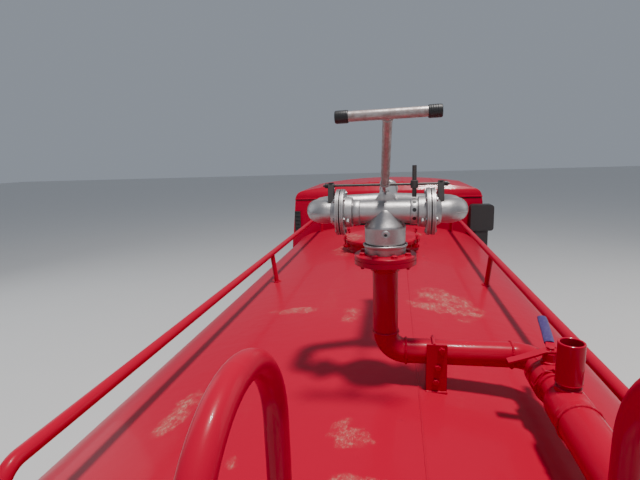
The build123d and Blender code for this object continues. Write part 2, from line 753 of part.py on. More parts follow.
def handrail(side):
    """Rail on the tank's crown with a leg at each end and a leaning stanchion between."""
    x = side * HANDRAIL_X
    foot = TANK_TOP_Z - LEG_ROOT_DEPTH
    corners = ((HANDRAIL_REAR_Y, foot), (HANDRAIL_REAR_Y, HANDRAIL_Z), (HANDRAIL_FRONT_Y, HANDRAIL_Z),
               (HANDRAIL_FRONT_Y, foot))
    rail = bent_tube([(x, y, z) for y, z in corners], TUBE_RADIUS, HANDRAIL_BEND)
    stanchion = rod((side * STANCHION_FOOT_X, STANCHION_Y, foot), (x, STANCHION_Y, HANDRAIL_Z),
                    STANCHION_RADIUS)
    return rail + stanchion - tank_solid()


def ladder():
    """Rear ladder whose stiles arch over into two grab hoops that land on the tank."""
    bend = (LADDER_FAR_Y - LADDER_NEAR_Y) / 2 - CUT_OVER
    body = None
    for x in LADDER_X:
        stile = bent_tube([(x, LADDER_NEAR_Y, PLATFORM_Z), (x, LADDER_NEAR_Y, LADDER_APEX_Z),
                           (x, LADDER_FAR_Y, LADDER_APEX_Z), (x, LADDER_FAR_Y, TANK_TOP_Z - 60)],
                          LADDER_TUBE_RADIUS, bend)
        body = stile if body is None else body + stile
        for z in STAND_OFFS_Z:
            body = body + rod((x, LADDER_NEAR_Y, z), (x, TANK_REAR_Y, z), STAND_OFF_RADIUS)
    for index in range(RUNG_COUNT):
        z = PLATFORM_Z + RUNG_PITCH * (index + 1)
        body = body + rod((LADDER_X[0], LADDER_NEAR_Y, z), (LADDER_X[1], LADDER_NEAR_Y, z), RUNG_RADIUS)
    return one(body - tank_solid())


# Pipework on the tank

def monitor_riser():
    """Riser with its lower flange, elbow, cross pipe and the bracket that holds it."""
    low = FLANGE_TOP_Z - 2 * FLANGE_THICKNESS - SEAT_GAP
    pipe = bent_tube([(MONITOR_X, MONITOR_Y, low), (MONITOR_X, MONITOR_Y, PIPE_Z),
                      (LONG_PIPE_X - ELBOW_REACH, MONITOR_Y, PIPE_Z)], PIPE_RADIUS, PIPE_BEND)
    flange = rod((MONITOR_X, MONITOR_Y, low), (MONITOR_X, MONITOR_Y, low + FLANGE_THICKNESS), FLANGE_RADIUS)
    foot = TANK_TOP_Z - 20
    near = MONITOR_Y - BRACKET_REACH
    left, right = BRACKET_X - BRACKET_HALF, BRACKET_X + BRACKET_HALF
    bracket = block((left, right), (near, near + BRACKET_PLATE), (foot, PIPE_Z + PIPE_RADIUS + 6))
    for cheek in ((left, left + BRACKET_CHEEK), (right - BRACKET_CHEEK, right)):
        bracket = bracket + block(cheek, (near, MONITOR_Y), (foot, PIPE_Z))
    return one(pipe + flange + bracket - tank_solid())


def delivery_pipe():
    """Elbow, pipe along the tank, ball valve body, open stub, and the wide pipe that drops to the pump."""
    pipe = bent_tube([(LONG_PIPE_X - ELBOW_REACH, MONITOR_Y, PIPE_Z), (LONG_PIPE_X, MONITOR_Y, PIPE_Z),
                      (LONG_PIPE_X, WIDE_PIPE_Y, PIPE_Z)], PIPE_RADIUS, PIPE_BEND)
    wide = bent_tube([(LONG_PIPE_X, WIDE_PIPE_Y + WIDE_PIPE_LAP, PIPE_Z), (LONG_PIPE_X, DROP_Y, PIPE_Z),
                      (LONG_PIPE_X, DROP_Y, MANIFOLD_Z + MANIFOLD_RADIUS + SEAT_GAP)],
                     WIDE_PIPE_RADIUS, WIDE_PIPE_BEND)
    valve = rod((LONG_PIPE_X, VALVE_Y - VALVE_HALF, PIPE_Z), (LONG_PIPE_X, VALVE_Y + VALVE_HALF, PIPE_Z),
                VALVE_RADIUS)
    bonnet = rod((LONG_PIPE_X, VALVE_Y, PIPE_Z), (LONG_PIPE_X, VALVE_Y, LEVER_Z - LEVER_THICKNESS / 2),
                 BONNET_RADIUS)
    bore, floor = STUB_RADIUS - STUB_WALL, STUB_TOP_Z - STUB_DEPTH
    outside = [(PIPE_Z, 0), (PIPE_Z, STUB_RADIUS), (STUB_RING_Z, STUB_RADIUS), (STUB_RING_Z, NIPPLE_RADIUS),
               (STUB_SEAT_Z, NIPPLE_RADIUS), (STUB_SEAT_Z, STUB_RADIUS), (STUB_TOP_Z, STUB_RADIUS)]
    inside = [(STUB_TOP_Z, bore), (floor, bore), (floor, 0)]
    stub = turned(outside + inside, (LONG_PIPE_X, STUB_Y, 0), (0, 0, 1))
    return one(pipe + wide + valve + bonnet + stub - tank_solid())


def valve_lever():
    """Bent flat bar on the valve's stem, its neck and the flattened sleeve that is held."""
    half = LEVER_THICKNESS / 2
    outline = [(x, z + half) for x, z in LEVER_LINE] + [(x, z - half) for x, z in reversed(LEVER_LINE)]
    bar = front_plate(outline, (VALVE_Y - LEVER_HALF_WIDTH, VALVE_Y + LEVER_HALF_WIDTH))
    neck = block((LONG_PIPE_X - LEVER_HALF_WIDTH, LONG_PIPE_X + LEVER_HALF_WIDTH),
                 (VALVE_Y, VALVE_Y + LEVER_NECK_LENGTH), (LEVER_Z - half, LEVER_Z + half))
    start, end = Vector(*SLEEVE_START), Vector(*SLEEVE_END)
    width, height, corner = SLEEVE_SECTION
    along = end - start
    section = Plane(origin=start, x_dir=(along.Y, -along.X, 0), z_dir=along)
    sleeve = extrude(section * RectangleRounded(width, height, corner), along.length)
    return one(bar + neck + sleeve)


# Monitor

def monitor_base():
    """Upper flange and the fixed cup of the pan swivel with its pin."""
    rim = SWIVEL_Z - 5
    cup = [(FLANGE_TOP_Z + height, radius) for height, radius in CUP_PROFILE]
    profile = [(FLANGE_TOP_Z - FLANGE_THICKNESS, 0), (FLANGE_TOP_Z - FLANGE_THICKNESS, FLANGE_RADIUS),
               (FLANGE_TOP_Z, FLANGE_RADIUS)] + cup
    profile += [(rim, SWIVEL_PIN_RADIUS), (SWIVEL_Z + SWIVEL_PIN_HEIGHT, SWIVEL_PIN_RADIUS),
                (SWIVEL_Z + SWIVEL_PIN_HEIGHT, 0)]
    return one(turned(profile, (MONITOR_X, MONITOR_Y, 0), (0, 0, 1)))


def monitor_swivel():
    """Panning turret: bell on the pin, cross tube with index bands, collars and end flanges."""
    centre = (MONITOR_X, MONITOR_Y, CROSS_TUBE_Z)
    bell = [(SWIVEL_Z, 0)] + [(SWIVEL_Z + height, radius) for height, radius in BELL_PROFILE]
    body = turned(bell + [(CROSS_TUBE_Z, 0)], (MONITOR_X, MONITOR_Y, 0), (0, 0, 1))
    body = body - rod((MONITOR_X, MONITOR_Y, SWIVEL_Z - CUT_OVER),
                      (MONITOR_X, MONITOR_Y, SWIVEL_Z + SWIVEL_PIN_HEIGHT + 5),
                      SWIVEL_PIN_RADIUS + RUN_CLEARANCE)
    bore, floor = TRUNNION_RADIUS + RUN_CLEARANCE, TRUNNION_OUT - TRUNNION_DEPTH - 5
    pocket = [(floor, 0), (floor, bore), (TRUNNION_OUT + CUT_OVER, bore), (TRUNNION_OUT + CUT_OVER, 0)]
    for side in SIDES:
        for near, far, radius in CROSS_RINGS:
            body = body + turned([(near, 0), (near, radius), (far, radius), (far, 0)], centre, (side, 0, 0))
        body = body - turned(pocket, centre, (side, 0, 0))
    return one(body)


def monitor_barrel():
    """Tilting gun: a flanged elbow on each trunnion, arms that meet in front, bored barrel."""
    centre = Vector(MONITOR_X, MONITOR_Y, CROSS_TUBE_Z)
    ring = TRUNNION_OUT + GUN_GAP
    face = ring + GUN_RING_THICKNESS
    collar_length, collar_radius = GUN_COLLAR
    elbow = [(TRUNNION_OUT - TRUNNION_DEPTH, 0), (TRUNNION_OUT - TRUNNION_DEPTH, TRUNNION_RADIUS),
             (ring, TRUNNION_RADIUS), (ring, SWIVEL_FLANGE_RADIUS), (face, SWIVEL_FLANGE_RADIUS),
             (face, collar_radius), (face + collar_length, collar_radius), (face + collar_length, 0)]
    barrel = [(BARREL_START, 0)] + list(BARREL_PROFILE)
    barrel += [(BARREL_REACH, BARREL_BORE), (BARREL_REACH - 60, BARREL_BORE - 6), (BARREL_REACH - 60, 0)]
    body = turned(barrel, tuple(centre), (0, 1, 0))
    for side in SIDES:
        corners = ((side * ring, 0), (side * ARM_OUT, 0), (side * ARM_OUT, ARM_FORWARD), (0, ARM_MEET))
        path = [(MONITOR_X + x, MONITOR_Y + y, CROSS_TUBE_Z) for x, y in corners]
        arm = bent_tube(path, ARM_RADIUS, list(ARM_BENDS))
        body = body + turned(elbow, tuple(centre), (side, 0, 0)) + arm
    return one(body.rotate(Axis(tuple(centre), (1, 0, 0)), GUN_ELEVATION))


def monitor_handle():
    """T-handle: a yoke bar on lugs of the two elbows, a stem up and back, a capped crossbar, a lock pin."""
    yoke = (MONITOR_X, MONITOR_Y, YOKE_Z)
    body = rod((MONITOR_X - YOKE_HALF, MONITOR_Y, YOKE_Z), (MONITOR_X + YOKE_HALF, MONITOR_Y, YOKE_Z),
               YOKE_RADIUS)
    body = body + rod(yoke, HANDLE_TOP, HANDLE_STEM_RADIUS)
    lug_x, lug_y = YOKE_LUG_HALF
    for side in SIDES:
        x = MONITOR_X + side * YOKE_LUG_X
        body = body + block((x - lug_x, x + lug_x), (MONITOR_Y - lug_y, MONITOR_Y + lug_y),
                            (CROSS_TUBE_Z + GUN_COLLAR[1] + SEAT_GAP, YOKE_Z + lug_x))
    slope = math.radians(HANDLE_SLOPE)
    along = Vector(math.cos(slope), 0, math.sin(slope))
    top, half = Vector(*HANDLE_TOP), HANDLE_LENGTH / 2
    body = body + rod(tuple(top - along * half), tuple(top + along * half), HANDLE_BAR_RADIUS)
    for side in SIDES:
        start = top + along * side * (half + HANDLE_CAP_OVER - HANDLE_CAP_LENGTH)
        end = top + along * side * (half + HANDLE_CAP_OVER)
        body = body + rod(tuple(start), tuple(end), HANDLE_CAP_RADIUS)
    for (low, high), radius in ((LOCK_PIN_Z, LOCK_PIN_RADIUS), (LOCK_NUT_Z, LOCK_NUT_RADIUS)):
        body = body + rod((LOCK_PIN_X, MONITOR_Y, low), (LOCK_PIN_X, MONITOR_Y, high), radius)
    return one(body)


# Wheels

def tyre(x, y):
    return turned(TYRE_PROFILE, (x, y, AXLE_Z), (1, 0, 0))


def rim(x, y, side, disc_out):
    """Drop-centre rim with a dished disc and hand holes; disc_out is the disc face's offset outwards."""
    half = RIM_WIDTH / 2
    outer, lip, drop = RIM_RADIUS - SEAT_GAP, RIM_RADIUS - RIM_LIP, RIM_RADIUS - RIM_DROP
    ring = [(-half, outer), (-half, lip), (-RIM_DROP, drop), (RIM_DROP, drop), (half, lip), (half, outer)]
    face, back, edge = side * disc_out, side * RIM_DISC, RIM_RADIUS - 20
    disc = [(face, DISC_BORE), (face + back, DISC_BORE), (face + back, DISC_KNEE), (back, edge),
            (0, edge), (face, DISC_KNEE)]
    wheel = turned(ring, (x, y, AXLE_Z), (1, 0, 0)) + turned(disc, (x, y, AXLE_Z), (1, 0, 0))
    for index in range(HAND_HOLES):
        angle = math.tau * index / HAND_HOLES
        hole_y, hole_z = y + HAND_HOLE_CIRCLE * math.cos(angle), AXLE_Z + HAND_HOLE_CIRCLE * math.sin(angle)
        wheel = wheel - rod((x - disc_out - RIM_DISC - CUT_OVER, hole_y, hole_z),
                            (x + disc_out + RIM_DISC + CUT_OVER, hole_y, hole_z), HAND_HOLE_RADIUS)
    return wheel


def hub(side, y, inner, outer, spindle_out):
    """Hub barrel with the bore for its spindle, as the part to add and the part to cut."""
    barrel = rod((side * inner, y, AXLE_Z), (side * outer, y, AXLE_Z), HUB_RADIUS)
    bore = rod((side * (inner - CUT_OVER), y, AXLE_Z), (side * (spindle_out + SPINDLE_END_GAP), y, AXLE_Z),
               SPINDLE_RADIUS + RUN_CLEARANCE)
    return barrel, bore


def front_rim(side):
    wheel = rim(side * FRONT_TRACK_HALF, FRONT_AXLE_Y, side, FRONT_DISC_OUT)
    outer = FRONT_TRACK_HALF + FRONT_DISC_OUT + FRONT_HUB_PROUD
    barrel, bore = hub(side, FRONT_AXLE_Y, FRONT_HUB_IN, outer, FRONT_SPINDLE_OUT)
    return one(wheel + barrel - bore)


def rear_rims(side):
    inner = rim(side * DUAL_INNER_X, REAR_AXLE_Y, side, REAR_DISC_OUT)
    outer = rim(side * DUAL_OUTER_X, REAR_AXLE_Y, -side, REAR_DISC_OUT)
    barrel, bore = hub(side, REAR_AXLE_Y, REAR_HUB_IN, REAR_HUB_OUT, REAR_SPINDLE_OUT)
    return one(inner + outer + barrel - bore)


def rear_tyres(side):
    return Compound(children=[one(tyre(side * x, REAR_AXLE_Y)) for x in (DUAL_INNER_X, DUAL_OUTER_X)])


# Axles, steering and springs

def front_axle():
    """Forged beam, dropped between the spring pads, with a kingpin eye at each end."""
    low = AXLE_Z - BEAM_DROP
    kick_in, kick_out = BEAM_KICK_X
    middle = [(-KINGPIN_X, AXLE_Z), (-kick_out, AXLE_Z), (-kick_in, low),
              (kick_in, low), (kick_out, AXLE_Z), (KINGPIN_X, AXLE_Z)]
    outline = [(x, z + BEAM_HALF_HEIGHT) for x, z in middle]
    outline += [(x, z - BEAM_HALF_HEIGHT) for x, z in reversed(middle)]
    beam = front_plate(outline, (FRONT_AXLE_Y - BEAM_HALF_WIDTH, FRONT_AXLE_Y + BEAM_HALF_WIDTH))
    for face in SIDES:
        y = span(FRONT_AXLE_Y + face * (BEAM_HALF_WIDTH + CUT_OVER), FRONT_AXLE_Y + face * BEAM_WEB_HALF)
        beam = beam - block((-BEAM_POCKET_X, BEAM_POCKET_X), y,
                            (low - BEAM_POCKET_HALF, low + BEAM_POCKET_HALF))
    for side in SIDES:
        x = side * KINGPIN_X
        eye_low, eye_high = AXLE_Z - KINGPIN_EYE_HALF, AXLE_Z + KINGPIN_EYE_HALF
        beam = beam + rod((x, FRONT_AXLE_Y, eye_low), (x, FRONT_AXLE_Y, eye_high), KINGPIN_EYE_RADIUS)
        beam = beam - rod((x, FRONT_AXLE_Y, eye_low - CUT_OVER), (x, FRONT_AXLE_Y, eye_high + CUT_OVER),
                          KINGPIN_RADIUS + RUN_CLEARANCE)
        pad_x = (side * SPRING_X - PAD_HALF_WIDTH, side * SPRING_X + PAD_HALF_WIDTH)
        beam = beam + block(pad_x, (FRONT_AXLE_Y - 2 * BEAM_HALF_WIDTH, FRONT_AXLE_Y + 2 * BEAM_HALF_WIDTH),
                            (low + BEAM_HALF_HEIGHT - RAIL_WALL, FRONT_PAD_Z))
    return one(beam)


def knuckle(side):
    """Forked steering knuckle with kingpin, spindle, steering arm and the arm's pin."""
    x, y = side * KINGPIN_X, FRONT_AXLE_Y
    inner = KINGPIN_EYE_HALF + EAR_GAP
    outer = inner + EAR_THICKNESS
    web = KINGPIN_EYE_RADIUS + EAR_GAP
    body = rod((x, y, AXLE_Z - outer), (x, y, AXLE_Z + outer), KINGPIN_RADIUS)
    for low, high in ((-outer, -inner), (inner, outer)):
        body = body + rod((x, y, AXLE_Z + low), (x, y, AXLE_Z + high), KINGPIN_EYE_RADIUS - 3)
        body = body + block(span(x, x + side * (web + 8)), (y - 34, y + 34), (AXLE_Z + low, AXLE_Z + high))
    body = body + block(span(x + side * web, x + side * (web + 22)), (y - 40, y + 40),
                        (AXLE_Z - outer, AXLE_Z + outer))
    body = body + rod((x + side * web, y, AXLE_Z), (side * FRONT_SPINDLE_OUT, y, AXLE_Z), SPINDLE_RADIUS)
    arm_z = AXLE_Z - outer + EAR_THICKNESS / 2
    arm_y = y - ARM_LENGTH
    body = body + block((x - ARM_HALF, x + ARM_HALF), (arm_y, y - 30), (arm_z - 12, arm_z + 12))
    body = body + rod((x, arm_y, arm_z - 12), (x, arm_y, arm_z + 12), ARM_EYE_RADIUS)
    return one(body + rod((x, arm_y, arm_z - TIE_ROD_DROP - TIE_EYE_HALF), (x, arm_y, arm_z), TIE_PIN_RADIUS))


def tie_rod():
    """Tie rod between the two steering arms; its left eye runs on the arm's pin, its right one hangs open."""
    z = AXLE_Z - KINGPIN_EYE_HALF - EAR_GAP - EAR_THICKNESS / 2 - TIE_ROD_DROP
    y = FRONT_AXLE_Y - ARM_LENGTH
    reach = KINGPIN_X - TIE_EYE_RADIUS + 5
    body = rod((-reach, y, z), (reach, y, z), TIE_ROD_RADIUS)
    for side, gap in ((-1, RUN_CLEARANCE), (1, OPEN_EYE_GAP)):
        x = side * KINGPIN_X
        body = body + rod((x, y, z - TIE_EYE_HALF), (x, y, z + TIE_EYE_HALF), TIE_EYE_RADIUS)
        body = body - rod((x, y, z - TIE_EYE_HALF - CUT_OVER), (x, y, z + TIE_EYE_HALF + CUT_OVER),
                          TIE_PIN_RADIUS + gap)
    return one(body)


def rear_axle():
    """Banjo housing with the differential bulge, nose, spring pads and spindles."""
    tube_end = REAR_HUB_IN - 12
    body = rod((-tube_end, REAR_AXLE_Y, AXLE_Z), (tube_end, REAR_AXLE_Y, AXLE_Z), AXLE_TUBE_RADIUS)
    body = body + turned(BANJO_PROFILE, (0, REAR_AXLE_Y, AXLE_Z), (1, 0, 0))
    body = body + rod((0, REAR_AXLE_Y, AXLE_Z), (0, REAR_AXLE_Y + AXLE_NOSE, AXLE_Z), AXLE_NOSE_RADIUS)
    body = body + rod((-REAR_SPINDLE_OUT, REAR_AXLE_Y, AXLE_Z), (REAR_SPINDLE_OUT, REAR_AXLE_Y, AXLE_Z),
                      SPINDLE_RADIUS)
    for side in SIDES:
        x = side * SPRING_X
        body = body + block((x - PAD_HALF_WIDTH, x + PAD_HALF_WIDTH), (REAR_AXLE_Y - 70, REAR_AXLE_Y + 70),
                            (AXLE_Z, REAR_PAD_Z))
    return one(body)


def leaf_pack(x, middle, seat, halves, thickness, rise):
    """One leaf spring: stacked bowed leaves, longest on top, with a hanger at each end."""
    longest = halves[0]
    bow = (longest ** 2 + rise ** 2) / (2 * rise)
    plane = Plane(origin=(x - SPRING_WIDTH / 2, 0, 0), x_dir=(0, 1, 0), z_dir=(1, 0, 0))
    body = None
    for index, half in enumerate(halves):
        below = (len(halves) - 1 - index) * thickness
        low, radius = seat + below, bow - below
        upper = radius - thickness
        low_end = low + radius - math.sqrt(radius ** 2 - half ** 2)
        high_end = low + radius - math.sqrt(upper ** 2 - half ** 2)
        outline = [
            ThreePointArc((middle - half, low_end), (middle, low), (middle + half, low_end)),
            Line((middle + half, low_end), (middle + half, high_end)),
            ThreePointArc((middle + half, high_end), (middle, low + thickness), (middle - half, high_end)),
            Line((middle - half, high_end), (middle - half, low_end)),
        ]
        leaf = extrude(plane * make_face(outline), SPRING_WIDTH)
        body = leaf if body is None else body + leaf
    top = seat + len(halves) * thickness
    for end in SIDES:
        y = middle + end * (longest - HANGER_FROM_TIP)
        body = body + block((x - SPRING_WIDTH / 2, x + SPRING_WIDTH / 2), (y - HANGER_HALF, y + HANGER_HALF),
                            (top + rise - 2 * thickness, RAIL_BOTTOM))
    return one(body)


def leaf_springs():
    return Compound(children=[leaf_pack(side * SPRING_X, *row) for row in LEAF_PACKS for side in SIDES])


# Chassis

def rail(side):
    """Channel rail, web outside, flanges inwards."""
    inner = side * (RAIL_OUTER_X - RAIL_FLANGE)
    solid = block(span(side * RAIL_OUTER_X, inner), (RAIL_REAR_Y, RAIL_FRONT_Y), (RAIL_BOTTOM, RAIL_TOP))
    hollow = block(span(side * (RAIL_OUTER_X - RAIL_WALL), inner - side * CUT_OVER),
                   (RAIL_REAR_Y - CUT_OVER, RAIL_FRONT_Y + CUT_OVER),
                   (RAIL_BOTTOM + RAIL_WALL, RAIL_TOP - RAIL_WALL))
    return solid - hollow


def chassis_frame():
    """Ladder frame: channel rails, cross members, cab pivots and bumper horns in front."""
    frame = rail(-1) + rail(1)
    inner, high = RAIL_OUTER_X - RAIL_WALL, RAIL_TOP - RAIL_WALL
    low, half = high - CROSS_DEPTH, CROSS_WIDTH / 2
    for y in CROSS_MEMBERS_Y:
        member = block((-inner, inner), (y - half, y + half), (low, high))
        channel = block((30 - inner, inner - 30), (y - half - CUT_OVER, y + half - RAIL_WALL),
                        (low + RAIL_WALL, high - RAIL_WALL))
        frame = frame + (member - channel)
    frame = frame + block((-inner, inner), (RAIL_FRONT_Y - FRONT_MEMBER_LENGTH, RAIL_FRONT_Y),
                          (RAIL_BOTTOM, FRONT_MEMBER_TOP))
    for side in SIDES:
        x = side * (RAIL_OUTER_X - HORN_HALF)
        lug = block((x - 15, x + 15), (RAIL_FRONT_Y - 10, CAB_PIVOT_Y + 22),
                    (CAB_PIVOT_Z - 30, CAB_PIVOT_Z + 22))
        pin = rod((x, CAB_PIVOT_Y, CAB_PIVOT_Z),
                  (side * (CAB_PIVOT_X + PIVOT_PIN_OVER), CAB_PIVOT_Y, CAB_PIVOT_Z), PIVOT_PIN_RADIUS)
        sides = (x - HORN_HALF, x + HORN_HALF)
        horn = block(sides, (HORN_REAR_Y, FRONT_Y - BUMPER_DEPTH), HORN_Z)
        post = block(sides, (HORN_REAR_Y, HORN_REAR_Y + HORN_POST), (HORN_Z[0], RAIL_BOTTOM))
        frame = frame + lug + pin + horn + post
    return one(frame)


def front_bumper():
    """Pressed bumper, wrapped back at its ends."""
    back = FRONT_Y - BUMPER_DEPTH
    end = back - BUMPER_END_LENGTH
    outer = [(BUMPER_HALF, end), (BUMPER_HALF, FRONT_Y - 90), (BUMPER_HALF - 120, FRONT_Y - 15),
             (BUMPER_HALF - 320, FRONT_Y)]
    inner = [(BUMPER_HALF - 320, back), (BUMPER_HALF - 130, back + 5), (BUMPER_HALF - 20, FRONT_Y - 105),
             (BUMPER_HALF - 20, end)]
    right, left = outer[::-1], [(-x, y) for x, y in outer]
    outline = left + right + inner[::-1] + [(-x, y) for x, y in inner]
    return one(extrude(Plane.XY.offset(BUMPER_Z[0]) * make_face(Polyline(*outline, close=True)),
                       BUMPER_Z[1] - BUMPER_Z[0]))


def engine():
    """Engine as one plain block between the rails, its feet on the lower flanges."""
    body = block((-ENGINE_HALF, ENGINE_HALF), ENGINE_Y, ENGINE_Z)
    seat = RAIL_BOTTOM + RAIL_WALL
    foot_out = RAIL_OUTER_X - 20
    for y in (ENGINE_Y[0] + ENGINE_FOOT_INSET, ENGINE_Y[1] - ENGINE_FOOT_INSET):
        body = body + block((-foot_out, foot_out), (y - ENGINE_FOOT_HALF, y + ENGINE_FOOT_HALF),
                            (seat, seat + 30))
    return one(body)


def drive_line():
    """Clutch bell and gearbox behind the engine, prop shaft and its flange on the rear axle's nose."""
    start = ENGINE_Y[0]
    case = rod((0, start, GEARBOX_Z), (0, start - BELL_LENGTH, GEARBOX_Z), BELL_RADIUS)
    case = case + rod((0, start - BELL_LENGTH + 10, GEARBOX_Z), (0, start - GEARBOX_LENGTH, GEARBOX_Z - 10),
                      GEARBOX_RADIUS)
    nose = REAR_AXLE_Y + AXLE_NOSE
    shaft = rod((0, start - GEARBOX_LENGTH + 10, SHAFT_START_Z),
                (0, nose + DRIVE_FLANGE_THICKNESS - 3, AXLE_Z + 8), SHAFT_RADIUS)
    flange = rod((0, nose + SEAT_GAP, AXLE_Z), (0, nose + DRIVE_FLANGE_THICKNESS, AXLE_Z),
                 DRIVE_FLANGE_RADIUS)
    return one(case + shaft + flange)


def fuel_tank():
    """Rounded fuel tank in two straps on brackets, filler neck on top."""
    tank = block(FUEL_TANK_X, FUEL_TANK_Y, FUEL_TANK_Z)
    body = fillet(tank.edges().filter_by(Axis.Y), FUEL_TANK_CORNER)
    for y in FUEL_BRACKETS_Y:
        strip = (y - FUEL_BRACKET_HALF, y + FUEL_BRACKET_HALF)
        strap = block((FUEL_TANK_X[0] - FUEL_STRAP_PROUD, FUEL_TANK_X[1] + FUEL_STRAP_PROUD), strip,
                      (FUEL_TANK_Z[0] - FUEL_STRAP_PROUD, FUEL_TANK_Z[1] + FUEL_STRAP_PROUD))
        strap = fillet(strap.edges().filter_by(Axis.Y), FUEL_TANK_CORNER + FUEL_STRAP_PROUD)
        bracket = block((RAIL_OUTER_X, FUEL_TANK_X[0] + 10), strip, (RAIL_BOTTOM + 10, RAIL_TOP - 10))
        body = body + strap + bracket
    x, y, z = FILLER
    return one(body + rod((x, y, z - 10), (x, y, z + FILLER_HEIGHT), FILLER_RADIUS))


def battery_box():
    """Ribbed battery box and air reservoir side by side on the left rail."""
    box = fillet(block(BATTERY_X, BATTERY_Y, BATTERY_Z).edges().filter_by(Axis.Z), 18)
    for y in BATTERY_RIBS_Y:
        box = box + block((BATTERY_X[0] - 6, BATTERY_X[0] + 6), (y - 15, y + 15),
                          (BATTERY_Z[0] + 25, BATTERY_Z[1] - 70))
    box = box + block((BATTERY_X[1] - 10, -RAIL_OUTER_X), (BATTERY_Y[0] + 50, BATTERY_Y[1] - 50), (620, 760))
    reservoir = rod((RESERVOIR_X, RESERVOIR_Y[0], RESERVOIR_Z), (RESERVOIR_X, RESERVOIR_Y[1], RESERVOIR_Z),
                    RESERVOIR_RADIUS)
    reservoir = fillet(reservoir.edges().filter_by(GeomType.CIRCLE), 35)
    for y in RESERVOIR_BRACKETS_Y:
        reservoir = reservoir + block((RESERVOIR_X, -RAIL_OUTER_X), (y - 30, y + 30), (620, 680))
        reservoir = reservoir + rod((RESERVOIR_X, y - 20, RESERVOIR_Z), (RESERVOIR_X, y + 20, RESERVOIR_Z),
                                    RESERVOIR_RADIUS + 4)
    return Compound(children=[one(box), one(reservoir)])


def side_guard(side):
    """Two guard rails between the wheels, on posts and outriggers from the chassis rail."""
    body = None
    for z in GUARD_RAILS_Z:
        bar = block(span(side * GUARD_X, side * (GUARD_X + GUARD_RAIL_DEPTH)), GUARD_Y,
                    (z - GUARD_RAIL_HALF, z + GUARD_RAIL_HALF))
        body = bar if body is None else body + bar
    for y in GUARD_POSTS_Y:
        strip = (y - GUARD_POST_HALF, y + GUARD_POST_HALF)
        body = body + block(span(side * (GUARD_X - GUARD_POST_DEPTH), side * GUARD_X), strip, GUARD_POST_Z)
        body = body + block(span(side * RAIL_OUTER_X, side * (GUARD_X - 30)), strip, GUARD_ARM_Z)
    return body


def mudguard(side, axle_y, radius, x_limits, rise, arm):
    """Rolled guard over a wheel, above its rise from the axle, on two arms from the chassis rail.

    The arm is its distance along Y from the axle and its two heights above the axle.
    """
    near, far = span(side * x_limits[0], side * x_limits[1])
    outer = radius + MUDGUARD_SHEET
    section = [(near, radius), (near, outer), (far, outer), (far, radius)]
    ring = turned(section, (0, axle_y, AXLE_Z), (1, 0, 0))
    reach = radius + 2 * MUDGUARD_SHEET
    body = ring & block((near - CUT_OVER, far + CUT_OVER), (axle_y - reach, axle_y + reach),
                        (AXLE_Z + rise, AXLE_Z + reach))
    arm_y, arm_low, arm_high = arm
    for end in SIDES:
        y = axle_y + end * arm_y
        body = body + block(span(side * RAIL_OUTER_X, side * (x_limits[0] + 18)),
                            (y - MUDGUARD_ARM_HALF, y + MUDGUARD_ARM_HALF),
                            (AXLE_Z + arm_low, AXLE_Z + arm_high))
    return body


def rear_mudguard(side):
    return mudguard(side, REAR_AXLE_Y, REAR_MUDGUARD_RADIUS, REAR_MUDGUARD_X, REAR_MUDGUARD_RISE,
                    REAR_MUDGUARD_ARM)


def front_mudguard(side):
    return mudguard(side, FRONT_AXLE_Y, FRONT_MUDGUARD_RADIUS, FRONT_MUDGUARD_X, FRONT_MUDGUARD_RISE,
                    FRONT_MUDGUARD_ARM)


# Platform, pump and tail

def rear_platform():
    """Deck on two bearers with a rear skirt, and the underrun bar on its posts."""
    across = (-PLATFORM_HALF, PLATFORM_HALF)
    deck = block(across, (PLATFORM_REAR_Y, PLATFORM_FRONT_Y), (PLATFORM_Z - PLATE, PLATFORM_Z))
    for y in (PLATFORM_REAR_Y + BEARER_HALF, PLATFORM_FRONT_Y - BEARER_HALF):
        deck = deck + block(across, (y - BEARER_HALF, y + BEARER_HALF), (RAIL_TOP, PLATFORM_Z))
    deck = deck + block(across, (PLATFORM_REAR_Y, PLATFORM_REAR_Y + PLATE),
                        (PLATFORM_Z - PLATFORM_SKIRT, PLATFORM_Z))
    for side in SIDES:
        x = side * UNDERRUN_POST_X
        deck = deck + block((x - UNDERRUN_POST_HALF, x + UNDERRUN_POST_HALF),
                            (PLATFORM_REAR_Y + 20, PLATFORM_REAR_Y + 70), (UNDERRUN_Z[0], RAIL_TOP))
    deck = deck + block(across, (REAR_Y, REAR_Y + UNDERRUN_DEPTH), UNDERRUN_Z)
    hole = rod((LONG_PIPE_X, DROP_Y, PLATFORM_Z - PLATFORM_SKIRT),
               (LONG_PIPE_X, DROP_Y, PLATFORM_Z + CUT_OVER), WIDE_PIPE_RADIUS + MOVE_GAP)
    return one(deck - hole)


def tail_lamp(side):
    lamp = block(span(side * TAIL_LAMP_X[0], side * TAIL_LAMP_X[1]),
                 (PLATFORM_REAR_Y - TAIL_LAMP_DEPTH, PLATFORM_REAR_Y), TAIL_LAMP_Z)
    return fillet(lamp.edges().filter_by(Axis.Y), TAIL_LAMP_CORNER)


